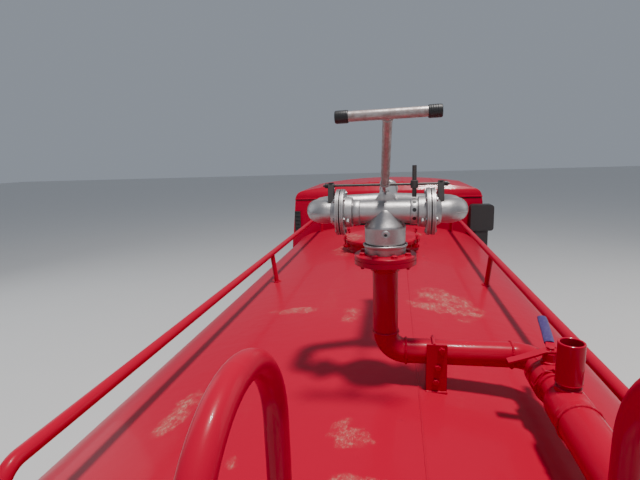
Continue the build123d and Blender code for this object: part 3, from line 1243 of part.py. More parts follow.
def pump():
    """Volute pump under the tank's tail, flanged cross manifold, two hose outlets with their hand wheels."""
    body = rod((PUMP_X, PUMP_Y[0], MANIFOLD_Z), (PUMP_X, PUMP_Y[1], MANIFOLD_Z), PUMP_RADIUS)
    body = body + rod((PUMP_X, PUMP_Y[1], MANIFOLD_Z), (PUMP_X, PUMP_BEARING_END_Y, MANIFOLD_Z),
                      PUMP_BEARING_RADIUS)
    body = body + rod((PUMP_X, PUMP_Y[0], MANIFOLD_Z), (PUMP_X, DROP_Y, MANIFOLD_Z), PUMP_NECK_RADIUS)
    body = body + rod((MANIFOLD_X[0], DROP_Y, MANIFOLD_Z), (MANIFOLD_X[1], DROP_Y, MANIFOLD_Z),
                      MANIFOLD_RADIUS)
    thickness, radius = MANIFOLD_FLANGE
    for x in (MANIFOLD_X[0], MANIFOLD_X[1] - thickness):
        body = body + rod((x, DROP_Y, MANIFOLD_Z), (x + thickness, DROP_Y, MANIFOLD_Z), radius)
    coupling_y = DROP_Y - OUTLET_REACH
    stem_y = DROP_Y - OUTLET_REACH / 2 - MANIFOLD_RADIUS / 2
    for x in OUTLETS_X:
        body = body + rod((x, DROP_Y, MANIFOLD_Z), (x, coupling_y, MANIFOLD_Z), OUTLET_RADIUS)
        body = body + rod((x, coupling_y + 5, MANIFOLD_Z), (x, coupling_y + 5 - COUPLING_LENGTH, MANIFOLD_Z),
                          COUPLING_RADIUS)
        body = body + rod((x, stem_y, MANIFOLD_Z), (x, stem_y, OUTLET_WHEEL_Z), 9)
        body = body + Pos(x, stem_y, OUTLET_WHEEL_Z) * Torus(OUTLET_WHEEL_RADIUS, 6)
        body = body + block((x - OUTLET_WHEEL_RADIUS, x + OUTLET_WHEEL_RADIUS), (stem_y - 6, stem_y + 6),
                            (OUTLET_WHEEL_Z - 3, OUTLET_WHEEL_Z + 3))
    for x in MANIFOLD_HANGERS_X:
        body = body + block((x - 20, x + 20), (DROP_Y - 30, DROP_Y + 30), (MANIFOLD_Z, RAIL_BOTTOM))
    return one(body)


def snorkel():
    """Raised air intake behind the cab: slotted head on a duct down to the chassis rail."""
    head = block(INTAKE_HEAD_X, INTAKE_HEAD_Y, INTAKE_HEAD_Z)
    head = fillet(head.edges().filter_by(Axis.Y), INTAKE_HEAD_CORNER)
    pitch = (INTAKE_HEAD_Z[1] - INTAKE_HEAD_Z[0] - 2 * INTAKE_HEAD_CORNER) / INTAKE_SLOTS
    for index in range(INTAKE_SLOTS):
        z = INTAKE_HEAD_Z[0] + INTAKE_HEAD_CORNER + pitch * (index + 0.5)
        head = head - block((INTAKE_HEAD_X[1] - INTAKE_SLOT_DEPTH, INTAKE_HEAD_X[1] + CUT_OVER),
                            (INTAKE_HEAD_Y[0] + 18, INTAKE_HEAD_Y[1] - 18), (z - pitch / 4, z + pitch / 4))
    duct = block(INTAKE_DUCT_X, INTAKE_DUCT_Y, (INTAKE_FOOT_Z[1] - 20, INTAKE_HEAD_Z[0] + 5))
    foot = block((RAIL_OUTER_X, INTAKE_FOOT_OUT), INTAKE_FOOT_Y, INTAKE_FOOT_Z)
    return one(head + duct + foot)


# Cab

def cab_front_face(inset=0.0):
    """Front view outline: skirt, widest at the belt, tumblehome, crowned roof."""
    skirt = (CAB_HALF_WIDTH - CAB_SKIRT_INSET, CAB_SKIRT_Z - CUT_OVER)
    belt = (CAB_HALF_WIDTH, BELT_Z)
    eave = (CAB_HALF_WIDTH - CAB_EAVE_INSET, CAB_EAVE_Z)
    left = [(-x, z) for x, z in (eave, belt, skirt)]
    lines = [Polyline(*left, skirt, belt, eave), ThreePointArc(eave, (0, CAB_ROOF_Z), left[0])]
    face = make_face(lines)
    face = fillet(face.vertices().sort_by(Axis.Y)[-2:], CAB_EAVE_RADIUS)
    return offset(face, -inset, kind=Kind.INTERSECTION) if inset else face


def cab_side_face(inset=0.0):
    face = make_face(Polyline(*CAB_SIDE, close=True))
    face = fillet([vertex for vertex in face.vertices() if vertex.Y > BELT_Z + 100], CAB_CORNER_RADIUS)
    return offset(face, -inset, kind=Kind.INTERSECTION) if inset else face


def cab_envelope(side_inset=0.0, front_inset=0.0):
    """Side outline and front outline, each extruded across the cab, and what they share."""
    reach = CAB_HALF_WIDTH + CAB_CUT_REACH
    side_plane = Plane(origin=(-reach, 0, 0), x_dir=(0, 1, 0), z_dir=(1, 0, 0))
    front_plane = Plane(origin=(0, CAB_FRONT_Y + CAB_CUT_REACH, 0), x_dir=(1, 0, 0), z_dir=(0, -1, 0))
    length = CAB_FRONT_Y - CAB_BACK_Y + 2 * CAB_CUT_REACH
    return (extrude(side_plane * cab_side_face(side_inset), 2 * reach)
            & extrude(front_plane * cab_front_face(front_inset), length))


def door_cut_limits(side):
    return span(side * (CAB_HALF_WIDTH - DOOR_CUT_DEPTH), side * (CAB_HALF_WIDTH + CAB_CUT_REACH))


def door_prism(side, inset=0.0):
    face = fillet(make_face(Polyline(*DOOR_OUTLINE, close=True)).vertices(), DOOR_CORNER)
    if inset:
        face = offset(face, -inset)
    start, end = door_cut_limits(side)
    return extrude(Plane(origin=(start, 0, 0), x_dir=(0, 1, 0), z_dir=(1, 0, 0)) * face, end - start)


def window_prism(side):
    return side_plate(DOOR_WINDOW, door_cut_limits(side), DOOR_WINDOW_CORNER)


def screen_prism():
    return front_plate(SCREEN_OUTLINE, (CAB_FRONT_Y - 430, CAB_FRONT_Y + 120), SCREEN_CORNER)


def rear_window_prism():
    half = REAR_WINDOW_HALF
    low, high = REAR_WINDOW_Z
    outline = [(-half, low), (half, low), (half, high), (-half, high)]
    return front_plate(outline, (CAB_BACK_Y - 20, CAB_BACK_Y + 80), REAR_WINDOW_CORNER)


def cab_hollow_shell():
    """Cab skin as one closed shell, before it is split into roof, body and doors."""
    hollow = cab_envelope(CAB_WALL, CAB_WALL)
    cover_half = TUNNEL_HALF + CAB_WALL
    low = CAB_SKIRT_Z - 10
    cover = block((-cover_half, cover_half), (TUNNEL_REAR_Y, CAB_FRONT_Y), (low, TUNNEL_Z + CAB_WALL))
    tunnel = block((-TUNNEL_HALF, TUNNEL_HALF), (TUNNEL_REAR_Y, CAB_FRONT_Y - CAB_WALL - 12), (low, TUNNEL_Z))
    return cab_envelope() - (hollow - cover) - tunnel


CAB_SHELL = cab_hollow_shell()
ABOVE_SEAM = block((-CAB_HALF_WIDTH - CAB_CUT_REACH, CAB_HALF_WIDTH + CAB_CUT_REACH),
                   (CAB_BACK_Y - CAB_CUT_REACH, CAB_FRONT_Y + CAB_CUT_REACH),
                   (CAB_SEAM_Z, CAB_ROOF_Z + CAB_CUT_REACH))


def cab_roof():
    """Roof panel above the seam with ribs pressed along it, each at the crown's height there."""
    roof = CAB_SHELL & ABOVE_SEAM
    half, rise = CAB_HALF_WIDTH - CAB_EAVE_INSET, CAB_ROOF_Z - CAB_EAVE_Z
    crown = (half ** 2 + rise ** 2) / (2 * rise)
    for index in range(ROOF_RIBS):
        x = ROOF_RIB_SPREAD * (2 * index / (ROOF_RIBS - 1) - 1)
        z = CAB_ROOF_Z - crown + math.sqrt(crown ** 2 - x ** 2) + ROOF_RIB_PROUD - ROOF_RIB_RADIUS
        roof = roof + rod((x, ROOF_RIB_Y[0], z), (x, ROOF_RIB_Y[1], z), ROOF_RIB_RADIUS)
    return one(roof)


def door_hinge_bracket(side, z):
    """Pillar half of a door hinge: two leaves above and below the barrel, and the pin."""
    axis_x = side * DOOR_AXIS_X
    leaf = DOOR_BARREL_HALF + DOOR_HINGE_PLAY
    out = DOOR_AXIS_X + DOOR_BARREL_RADIUS
    root = (DOOR_OUTLINE[1][0] + MOVE_GAP, DOOR_OUTLINE[1][0] + MOVE_GAP + HINGE_ROOT)
    part = rod((axis_x, DOOR_AXIS_Y, z - leaf - 5), (axis_x, DOOR_AXIS_Y, z + leaf + 5), DOOR_PIN_RADIUS)
    for low, high in ((-leaf - HINGE_LEAF, -leaf), (leaf, leaf + HINGE_LEAF)):
        part = part + block(span(side * (out - 2 * DOOR_BARREL_RADIUS - 0.5), side * out),
                            (DOOR_AXIS_Y - DOOR_BARREL_RADIUS, root[1]), (z + low, z + high))
    return part + block(span(side * (CAB_HALF_WIDTH - 30), side * out), root,
                        (z - leaf - HINGE_LEAF, z + leaf + HINGE_LEAF))


def step_recess(side, grow=0.0):
    """Entry step's pocket in the front corner of the skirt."""
    return block(span(side * (CAB_HALF_WIDTH - STEP_DEPTH - grow), side * (CAB_HALF_WIDTH + CAB_CUT_REACH)),
                 (STEP_Y[0] - grow, STEP_Y[1] + grow), (STEP_Z[0] - grow, STEP_Z[1] + grow))


def cab_body():
    """Cab below the roof seam: openings for doors, screen and rear window, steps, back ribs, pivot lugs."""
    body = CAB_SHELL - ABOVE_SEAM
    lug_in, lug_y, lug_z = CAB_PIVOT_LUG
    for side in SIDES:
        body = body - door_prism(side)
        body = body + (step_recess(side, STEP_WALL) & cab_envelope()) - step_recess(side)
        body = body + block(span(side * (CAB_PIVOT_X - lug_in), side * (TUNNEL_HALF + 4)),
                            (CAB_PIVOT_Y - lug_y, CAB_PIVOT_Y + lug_y), (CAB_PIVOT_Z - lug_z, TUNNEL_Z + 5))
        for x in BACK_RIBS_X:
            body = body + block((side * x - BACK_RIB_HALF, side * x + BACK_RIB_HALF),
                                (CAB_BACK_Y - BACK_RIB_PROUD, CAB_BACK_Y + 20), BACK_RIB_Z)
    body = body - screen_prism() - rear_window_prism()
    for side in SIDES:
        for z in DOOR_HINGES_Z:
            body = body + door_hinge_bracket(side, z)
        body = body - rod((side * (CAB_PIVOT_X - 20), CAB_PIVOT_Y, CAB_PIVOT_Z),
                          (side * (CAB_PIVOT_X + PIVOT_PIN_OVER + 4), CAB_PIVOT_Y, CAB_PIVOT_Z),
                          PIVOT_PIN_RADIUS + RUN_CLEARANCE)
    return one(body)


def cab_glass():
    """Windscreen and rear window, set in the wall's thickness."""
    layer = cab_envelope(FRONT_GLASS_IN, 0) - cab_envelope(FRONT_GLASS_IN + GLASS, 0)
    return Compound(children=[one(layer & screen_prism()), one(layer & rear_window_prism())])


def door(side):
    """Door panel cut from the shell, with the barrels of its hinges."""
    panel = (CAB_SHELL & door_prism(side, MOVE_GAP)) - window_prism(side)
    axis_x = side * DOOR_AXIS_X
    for z in DOOR_HINGES_Z:
        low, high = z - DOOR_BARREL_HALF, z + DOOR_BARREL_HALF
        barrel = rod((axis_x, DOOR_AXIS_Y, low), (axis_x, DOOR_AXIS_Y, high), DOOR_BARREL_RADIUS)
        leaf = block(span(side * (DOOR_AXIS_X - HINGE_ROOT), side * (DOOR_AXIS_X + 4)),
                     (DOOR_AXIS_Y - 55, DOOR_AXIS_Y), (low, high))
        bore = rod((axis_x, DOOR_AXIS_Y, low - CUT_OVER), (axis_x, DOOR_AXIS_Y, high + CUT_OVER),
                   DOOR_PIN_RADIUS + RUN_CLEARANCE)
        panel = panel + barrel + leaf - bore
    return one(panel)


def door_glass(side):
    layer = cab_envelope(0, DOOR_GLASS_IN) - cab_envelope(0, DOOR_GLASS_IN + GLASS)
    return one(layer & window_prism(side))


def grille():
    """Grille panel with slots between its bars, on the cab's front face."""
    low, high = GRILLE_Z
    front = CAB_FRONT_Y + GRILLE_PROUD
    panel = block((-GRILLE_HALF, GRILLE_HALF), (CAB_FRONT_Y - 3, front), GRILLE_Z)
    pitch = (high - low) / GRILLE_BARS
    for index in range(GRILLE_BARS):
        z, half = low + pitch * (index + 0.5), pitch * GRILLE_SLOT_SHARE / 2
        panel = panel - block((GRILLE_FRAME - GRILLE_HALF, GRILLE_HALF - GRILLE_FRAME),
                              (front - GRILLE_SLOT_DEPTH, front + CUT_OVER), (z - half, z + half))
    return one(panel - cab_envelope(-SEAT_GAP, 0))


def headlamp(side):
    near, far = HEADLAMP_INSET
    lamp = block(span(side * (CAB_HALF_WIDTH - far), side * (CAB_HALF_WIDTH - near)),
                 (CAB_FRONT_Y - 10, CAB_FRONT_Y + HEADLAMP_PROUD), HEADLAMP_Z)
    return fillet(lamp.edges().filter_by(Axis.Y), HEADLAMP_CORNER) - cab_envelope(-SEAT_GAP, 0)


def cab_vent(side):
    """Slatted air outlet on the cab's rear corner."""
    low, high = VENT_Z
    x = span(side * VENT_X[0], side * VENT_X[1])
    vent = block(x, (CAB_BACK_Y - VENT_PROUD, CAB_BACK_Y + 12), VENT_Z)
    pitch = (high - low) / VENT_SLATS
    for index in range(VENT_SLATS):
        z = low + pitch * (index + 0.5)
        vent = vent - block((x[0] + 8, x[1] - 8), (CAB_BACK_Y - VENT_PROUD - CUT_OVER,
                                                   CAB_BACK_Y - VENT_PROUD + VENT_SLOT_DEPTH), (z - 9, z + 9))
    return vent - cab_envelope(-SEAT_GAP, 0)


def dashboard():
    """Dash across the cab with a wing to each wall, steering column and its shaft."""
    end = CAB_HALF_WIDTH - DASH_END_INSET
    dash = side_plate([(y, DASH_FLOOR_Z + rise) for y, rise in DASH_SECTION], (-end, end), 15)
    low, high = (DASH_FLOOR_Z + rise for rise in DASH_WING_RISE)
    inside = cab_envelope(CAB_WALL + SEAT_GAP, CAB_WALL + SEAT_GAP)
    for side in SIDES:
        wing = block(span(side * (end - 10), side * CAB_HALF_WIDTH), DASH_WING_Y, (low, high))
        dash = dash + (wing & inside)
    top, tilt = Vector(*COLUMN_TOP), Vector(*WHEEL_TILT)
    column = rod(tuple(top - tilt * COLUMN_LENGTH), COLUMN_TOP, COLUMN_RADIUS)
    shaft = rod(COLUMN_TOP, tuple(top + tilt * COLUMN_SHAFT_LENGTH), COLUMN_SHAFT_RADIUS)
    return one(dash + column + shaft)


def steering_wheel():
    """Rim, three spokes and a boss on the column's shaft."""
    plane = Plane(origin=COLUMN_TOP, z_dir=WHEEL_TILT).offset(5)
    length, width, thickness = WHEEL_SPOKE_SIZE
    body = extrude(plane * Circle(WHEEL_BOSS_RADIUS), WHEEL_BOSS_HEIGHT)
    body = body + plane.offset(22) * Torus(WHEEL_RADIUS, WHEEL_GRIP_RADIUS)
    for angle in WHEEL_SPOKES:
        body = body + plane.offset(19) * (Rot(0, 0, angle) * (Pos(118, 0, 0) * Box(length, width, thickness)))
    bore = extrude(plane.offset(-CUT_OVER) * Circle(COLUMN_SHAFT_RADIUS + RUN_CLEARANCE),
                   COLUMN_SHAFT_LENGTH - 2)
    return one(body - bore)


def seats():
    """Driver's seat and passenger bench: cushion and backrest on a base box."""
    items = []
    for x, half in SEATS:
        base = block((x - half + 30, x + half - 30), SEAT_BASE_Y, (CAB_FLOOR_Z + CAB_WALL, CUSHION_Z[0]))
        cushion = fillet(block((x - half, x + half), CUSHION_Y, CUSHION_Z).edges(), SEAT_EDGE)
        back = side_plate(BACKREST, (x - half, x + half), SEAT_EDGE)
        items.append(one(base + cushion + back))
    return Compound(children=items)


def mirror(side):
    """Mirror head on a tube arm from the front pillar."""
    out = MIRROR_OUT - 120
    low, high = MIRROR_ARM_Z
    top_y, low_y, out_y = MIRROR_ARM_Y
    arm = bent_tube([(side * (CAB_HALF_WIDTH - 55), low_y, low), (side * out, out_y, low),
                     (side * (out + 40), out_y, high), (side * (CAB_HALF_WIDTH - 110), top_y, high)],
                    MIRROR_ARM_RADIUS, MIRROR_ARM_BEND)
    head = block(span(side * (MIRROR_OUT - MIRROR_HEAD_WIDTH), side * MIRROR_OUT),
                 MIRROR_HEAD_Y, MIRROR_HEAD_Z)
    head = fillet(head.edges().filter_by(Axis.Y), MIRROR_HEAD_CORNER)
    return arm + head - cab_envelope()


NODES = {
    "chassis_frame": chassis_frame,
    "front_bumper": front_bumper,
    "front_axle": front_axle,
    "rear_axle": rear_axle,
    "leaf_springs": leaf_springs,
    "engine": engine,
    "drive_line": drive_line,
    "fuel_tank": fuel_tank,
    "battery_box": battery_box,
    "side_guards": lambda: pair(side_guard),
    "rear_mudguards": lambda: pair(rear_mudguard),
    "front_mudguards": lambda: pair(front_mudguard),
    "tank_subframe": tank_subframe,
    "water_tank": water_tank,
    "manhole_neck": manhole_neck,
    "manhole_lid": manhole_lid,
    "handrails": lambda: pair(handrail),
    "ladder": ladder,
    "monitor_riser": monitor_riser,
    "delivery_pipe": delivery_pipe,
    "valve_lever": valve_lever,
    "monitor_base": monitor_base,
    "monitor_swivel": monitor_swivel,
    "monitor_barrel": monitor_barrel,
    "monitor_handle": monitor_handle,
    "rear_platform": rear_platform,
    "tail_lamps": lambda: pair(tail_lamp),
    "pump": pump,
    "snorkel": snorkel,
    "cab_roof": cab_roof,
    "cab_body": cab_body,
    "cab_glass": cab_glass,
    "cab_vents": lambda: pair(cab_vent),
    "grille": grille,
    "headlamps": lambda: pair(headlamp),
    "mirrors": lambda: pair(mirror),
    "dashboard": dashboard,
    "seats": seats,
    "steering_wheel": steering_wheel,
    "tie_rod": tie_rod,
}
for word, side in (("left", -1), ("right", 1)):
    NODES["door_" + word] = lambda side=side: door(side)
    NODES["door_glass_" + word] = lambda side=side: door_glass(side)
    NODES["knuckle_" + word] = lambda side=side: knuckle(side)
    NODES["front_tyre_" + word] = lambda side=side: one(tyre(side * FRONT_TRACK_HALF, FRONT_AXLE_Y))
    NODES["front_rim_" + word] = lambda side=side: front_rim(side)
    NODES["rear_tyres_" + word] = lambda side=side: rear_tyres(side)
    NODES["rear_rims_" + word] = lambda side=side: rear_rims(side)

os.makedirs("parts", exist_ok=True)
for name, build in NODES.items():
    export_step(build(), "parts/" + name + ".step")
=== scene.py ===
"""Looks of the water tanker fire truck: finishes, castings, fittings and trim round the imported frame."""
import math

import bmesh
import bpy
from mathutils import Matrix, Vector


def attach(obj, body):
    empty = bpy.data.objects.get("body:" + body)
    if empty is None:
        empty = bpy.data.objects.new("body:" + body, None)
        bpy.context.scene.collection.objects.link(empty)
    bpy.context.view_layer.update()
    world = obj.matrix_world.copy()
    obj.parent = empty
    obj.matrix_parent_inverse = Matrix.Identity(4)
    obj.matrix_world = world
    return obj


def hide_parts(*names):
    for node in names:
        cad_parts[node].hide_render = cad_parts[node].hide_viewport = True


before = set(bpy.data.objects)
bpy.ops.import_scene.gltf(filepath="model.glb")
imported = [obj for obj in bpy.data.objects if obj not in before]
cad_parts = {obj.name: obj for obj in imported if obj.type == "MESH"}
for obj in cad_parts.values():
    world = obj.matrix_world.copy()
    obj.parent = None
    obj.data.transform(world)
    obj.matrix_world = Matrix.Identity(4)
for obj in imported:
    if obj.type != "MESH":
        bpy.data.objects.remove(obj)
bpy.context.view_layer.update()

# Where the truck's parts are, metres in the frame of the model
TANK_TOP = 1.8
TANK_CROWN = 3.5
TANK_FRONT = 1.28
TANK_REAR = -2.77
TANK_BOTTOM = 0.88
TANK_SIDE = 1.0
MONITOR = Vector((0.078, -1.91, 0.0))
FLANGE_TOP = 2.21
FLANGE_RADIUS = 0.0925
SWIVEL_LOW = 2.247
CROSS_TUBE = 2.336
PIPE_HEIGHT = 1.9
PIPE_RADIUS = 0.038
LONG_PIPE = 0.512
STUB = -2.18
VALVE = -2.05
BRACKET = 0.23
MANHOLE = Vector((0.0, 0.13, 0.0))
AXLE = 0.43
FRONT_AXLE = 2.1
REAR_AXLE = -1.6


# Camera: it stands at the head of the rear ladder and looks forward over the tank

EYE = (0.11, -3.22, 2.503)
PICTURE = (640.0, 480.0)
FOCAL_PIXELS = 440.0
AHEAD_PIXEL = (396.0, 154.0)


def ladder_camera():
    """Turns the camera so that straight ahead lands on its pixel."""
    (wide, high), (column, row) = PICTURE, AHEAD_PIXEL
    ahead = Vector((column - wide / 2, row - high / 2, FOCAL_PIXELS)).normalized()
    right = Vector((ahead.z, 0.0, -ahead.x)).normalized()
    up = right.cross(ahead)
    turn = Matrix(((right.x, -right.y, -right.z), (ahead.x, -ahead.y, -ahead.z), (up.x, -up.y, -up.z)))
    data = bpy.data.cameras.new("ladder_camera")
    data.sensor_width = 36.0
    data.lens = FOCAL_PIXELS * data.sensor_width / wide
    data.clip_start, data.clip_end = 0.02, 200.0
    camera = bpy.data.objects.new("ladder_camera", data)
    camera.matrix_world = Matrix.Translation(EYE) @ turn.to_4x4()
    bpy.context.scene.collection.objects.link(camera)
    bpy.context.scene.camera = camera


ladder_camera()


# Finishes

class Value:
    """What one output of a finish's nodes gives; arithmetic on it adds the Math nodes."""

    def __init__(self, finish, socket):
        self.finish, self.socket = finish, socket

    def maths(self, operation, *terms):
        """One Math node on this value and the terms."""
        return self.finish.node("ShaderNodeMath", {"operation": operation}, terms)

    def __add__(self, other):
        return self.maths("ADD", self, other)

    __radd__ = __add__

    def __mul__(self, other):
        return self.maths("MULTIPLY", self, other)

    __rmul__ = __mul__

    def __sub__(self, other):
        return self.maths("SUBTRACT", self, other)

    def __rsub__(self, other):
        return self.maths("SUBTRACT", other, self)

    def __truediv__(self, other):
        return self.maths("DIVIDE", self, other)

    def sine(self):
        return self.maths("SINE", self)

    def most(self, other):
        return self.maths("MAXIMUM", self, other)

    def between(self, low, high):
        """0 below low, 1 above high and a straight slope between them."""
        span = {"From Min": low, "From Max": high}
        return self.finish.node("ShaderNodeMapRange", {"clamp": True}, {"Value": self, **span})


class Finish:
    """One finish of the truck: a material, the name of its slot, its shader and what is laid on it."""

    def __init__(self, name, colour, roughness, slot=None, **constants):
        self.slot = slot or name
        self.material = bpy.data.materials.new(name)
        self.material.use_nodes = True
        self.tree = self.material.node_tree
        self.shader = self.tree.nodes["Principled BSDF"]
        self.colour, self.bumps = colour, None
        self.shader.inputs["Base Color"].default_value = (*colour, 1.0)
        self.shader.inputs["Roughness"].default_value = roughness
        for socket, value in constants.items():
            self.shader.inputs[socket.replace("_", " ")].default_value = value
        self.place = self.node("ShaderNodeTexCoord", out="Object")
        self.outward = self.node("ShaderNodeTexCoord", out="Normal")

    def node(self, kind, settings=None, sockets=(), out=0):
        """Adds a node: its settings first, then numbers, colours or links on its sockets."""
        made = self.tree.nodes.new(kind)
        for setting, value in (settings or {}).items():
            setattr(made, setting, value)
        named = sockets.items() if isinstance(sockets, dict) else enumerate(sockets)
        for key, value in named:
            self.feed(made.inputs[key], value)
        return Value(self, made.outputs[out])

    def feed(self, socket, value):
        """Links a value to a socket, or sets the socket to a number or colour."""
        if isinstance(value, Value):
            self.tree.links.new(value.socket, socket)
        elif socket.type == "RGBA":
            socket.default_value = (*value, 1.0)
        else:
            socket.default_value = value

    def grain(self, size, detail=3.0, stretch=None, rough=0.55):
        """Soft noise whose patches are about size metres across."""
        where = self.place
        if stretch:
            where = self.node("ShaderNodeMapping", {}, {"Vector": where, "Scale": stretch})
        return self.node("ShaderNodeTexNoise", {}, {"Vector": where, "Scale": 1.0 / size, "Detail": detail,
                                                    "Roughness": rough})

    def cells(self, size):
        """Distance from the middles of cells about size metres across."""
        return self.node("ShaderNodeTexVoronoi", {"feature": "F1"},
                         {"Vector": self.place, "Scale": 1.0 / size}, "Distance")

    def along(self, axis):
        """Place along one axis of the truck, in metres."""
        return self.node("ShaderNodeSeparateXYZ", {}, [self.place], "XYZ".index(axis))

    def facing(self, axis):
        """How far the surface faces along one axis."""
        return self.node("ShaderNodeSeparateXYZ", {}, [self.outward], "XYZ".index(axis))

    def tint(self, share, shade):
        """Lays shade over the colour so far where share is 1."""
        self.colour = self.node("ShaderNodeMix", {"data_type": "RGBA"},
                                {"Factor": share, 6: self.colour, 7: shade}, 2)
        self.feed(self.shader.inputs["Base Color"], self.colour)

    def vary(self, socket, value):
        """Lets a value drive one of the shader's sockets."""
        self.feed(self.shader.inputs[socket], value)

    def raise_by(self, height, depth):
        """Bump of so many metres; later ones lie on the earlier ones."""
        sockets = {"Strength": 1.0, "Distance": depth, "Height": height}
        if self.bumps:
            sockets["Normal"] = self.bumps
        self.bumps = self.node("ShaderNodeBump", {}, sockets)
        self.feed(self.shader.inputs["Normal"], self.bumps)


DUST = (0.42, 0.3, 0.22)
ROAD_DIRT = (0.16, 0.12, 0.09)
# Scuffed patches on the tank and behind the manhole: x, y, half the width, half the length
SCUFFS = (
    (0.345, -1.1, 0.2, 0.26), (-0.005, -2.205, 0.085, 0.075), (0.02, -2.39, 0.1, 0.06),
    (-0.38, -1.26, 0.15, 0.065), (-0.09, -1.35, 0.06, 0.13), (-0.53, -2.1, 0.055, 0.21),
    (-0.28, -2.33, 0.03, 0.035), (0.16, 0.78, 0.26, 0.19), (-0.25, 0.06, 0.16, 0.24),
)


def red_paint():
    """Glossy fire red, dusty on what faces up, with beige scuffs where boots stand and a pale painted sheen
    on the top that grows towards the front.
    """
    paint = Finish("red_paint", (0.43, 0.0002, 0.026), 0.36, Coat_Weight=0.09, Coat_Roughness=0.06,
                   Specular_IOR_Level=0.09)
    upward = paint.facing("Z").between(0.55, 0.98)
    height = paint.along("Z")
    walked = 0.0
    for x, y, wide, long in SCUFFS:
        across, along = (paint.along("X") - x) / wide, (paint.along("Y") - y) / long
        walked = (1.0 - (across * across + along * along)).most(walked)
    ragged = (walked + 3.4 * paint.grain(0.13, 6.0, rough=0.66)).between(2.05, 2.55)
    fleck = ((0.22 + 0.78 * paint.grain(0.008, 5.0, (1.0, 0.5, 1.0), 0.75).between(0.47, 0.6))
             * (0.2 + 0.8 * paint.grain(0.034, 4.0, (1.0, 0.6, 1.0), 0.65).between(0.4, 0.58)))
    scuff = walked.between(0.0, 0.25) * ragged * fleck * upward
    rubbed = paint.grain(0.34, 6.0, (1.0, 0.3, 1.0), 0.68).between(0.56, 0.76) * fleck * upward
    # Pale film on what faces up: partly dust, partly a painted sky sheen that grows towards the front
    film = paint.grain(0.9, 4.0).between(0.28, 0.75) * upward * (0.15 + paint.along("Y").between(-1.9, 0.6))
    low_dirt = (1.0 - height.between(0.35, 1.15)) * paint.grain(0.16, 4.0).between(0.35, 0.75)
    paint.tint(film * 0.04, (0.62, 0.3, 0.28))
    paint.tint(rubbed * 0.1, DUST)
    paint.tint(scuff * 0.66, DUST)
    paint.tint(low_dirt * 0.4, ROAD_DIRT)
    paint.vary("Roughness", 0.3 + 0.16 * film + 0.3 * scuff + 0.3 * low_dirt)
    paint.raise_by(paint.grain(0.11, 2.0), 0.0022)
    paint.raise_by(paint.grain(0.0022, 2.0), 0.00006)
    return paint


def cast_silver():
    """Tumbled aluminium casting: bright, finely grained, darker in its pits."""
    cast = Finish("cast_silver", (0.5, 0.48, 0.48), 0.38, Metallic=0.9)
    pits = cast.cells(0.0016).between(0.15, 0.6)
    cloud = cast.grain(0.05, 4.0).between(0.35, 0.7)
    cast.tint(1.0 - pits, (0.32, 0.31, 0.31))
    cast.tint(cloud * 0.4, (0.34, 0.32, 0.31))
    cast.vary("Roughness", 0.3 + 0.16 * cloud + 0.08 * pits)
    cast.raise_by(cast.grain(0.0018, 3.0), 0.00022)
    cast.raise_by(cast.grain(0.012, 2.0), 0.0004)
    return cast


def bare_bar():
    """Drawn bar with a thin brown bloom of rust over worn zinc."""
    bar = Finish("bare_bar", (0.42, 0.38, 0.37), 0.4, Metallic=0.7)
    rust = bar.grain(0.014, 5.0).between(0.38, 0.7)
    bar.tint(rust * 0.62, (0.19, 0.105, 0.085))
    bar.vary("Metallic", 0.75 - 0.35 * rust)
    bar.vary("Roughness", 0.4 + 0.2 * rust)
    bar.raise_by(bar.grain(0.0016, 3.0), 0.00015)
    return bar


def tank_steel():
    """Bare steel of small fittings, dulled."""
    steel = Finish("tank_steel", (0.3, 0.3, 0.31), 0.42, Metallic=0.85)
    stain = steel.grain(0.02, 4.0).between(0.45, 0.7)
    steel.tint(stain * 0.6, (0.14, 0.1, 0.08))
    steel.vary("Roughness", 0.36 + 0.25 * stain)
    steel.raise_by(steel.grain(0.0012, 2.0), 0.0001)
    return steel


def painted(name, colour, roughness, dirt=0.5, grain=0.004, bump=0.00025, top_dirt=1.1, **constants):
    """Plain paint or plastic with its own grain, and road dirt that thins out upwards."""
    coat = Finish(name, colour, roughness, **constants)
    soil = (1.0 - coat.along("Z").between(0.3, top_dirt)) * coat.grain(0.09, 4.0).between(0.3, 0.72)
    patch = coat.grain(0.25, 4.0).between(0.35, 0.75)
    lighter = tuple(min(1.0, shade * 1.25 + 0.012) for shade in colour)
    coat.tint(patch * 0.5, lighter)
    coat.tint(soil * dirt, ROAD_DIRT)
    coat.vary("Roughness", roughness + 0.1 * patch + (0.85 - roughness) * dirt * soil)
    coat.raise_by(coat.grain(grain, 3.0), bump)
    return coat


def tyre_rubber():
    """Dark rubber, dusty in patches."""
    rubber = Finish("tyre_rubber", (0.02, 0.02, 0.021), 0.72)
    dusty = rubber.grain(0.05, 5.0).between(0.35, 0.7)
    rubber.tint(dusty * 0.65, (0.085, 0.075, 0.065))
    rubber.vary("Roughness", 0.66 + 0.22 * dusty)
    rubber.raise_by(rubber.grain(0.0018, 3.0), 0.0003)
    return rubber


def grip_vinyl():
    """Blue-violet dipped sleeve of the valve lever, scuffed."""
    sleeve = Finish("grip_vinyl", (0.052, 0.026, 0.135), 0.46)
    scuffed = sleeve.grain(0.006, 4.0).between(0.48, 0.7)
    sleeve.tint(scuffed * 0.45, (0.15, 0.11, 0.27))
    sleeve.vary("Roughness", 0.42 + 0.2 * scuffed)
    sleeve.raise_by(sleeve.grain(0.003, 3.0), 0.0006)
    return sleeve


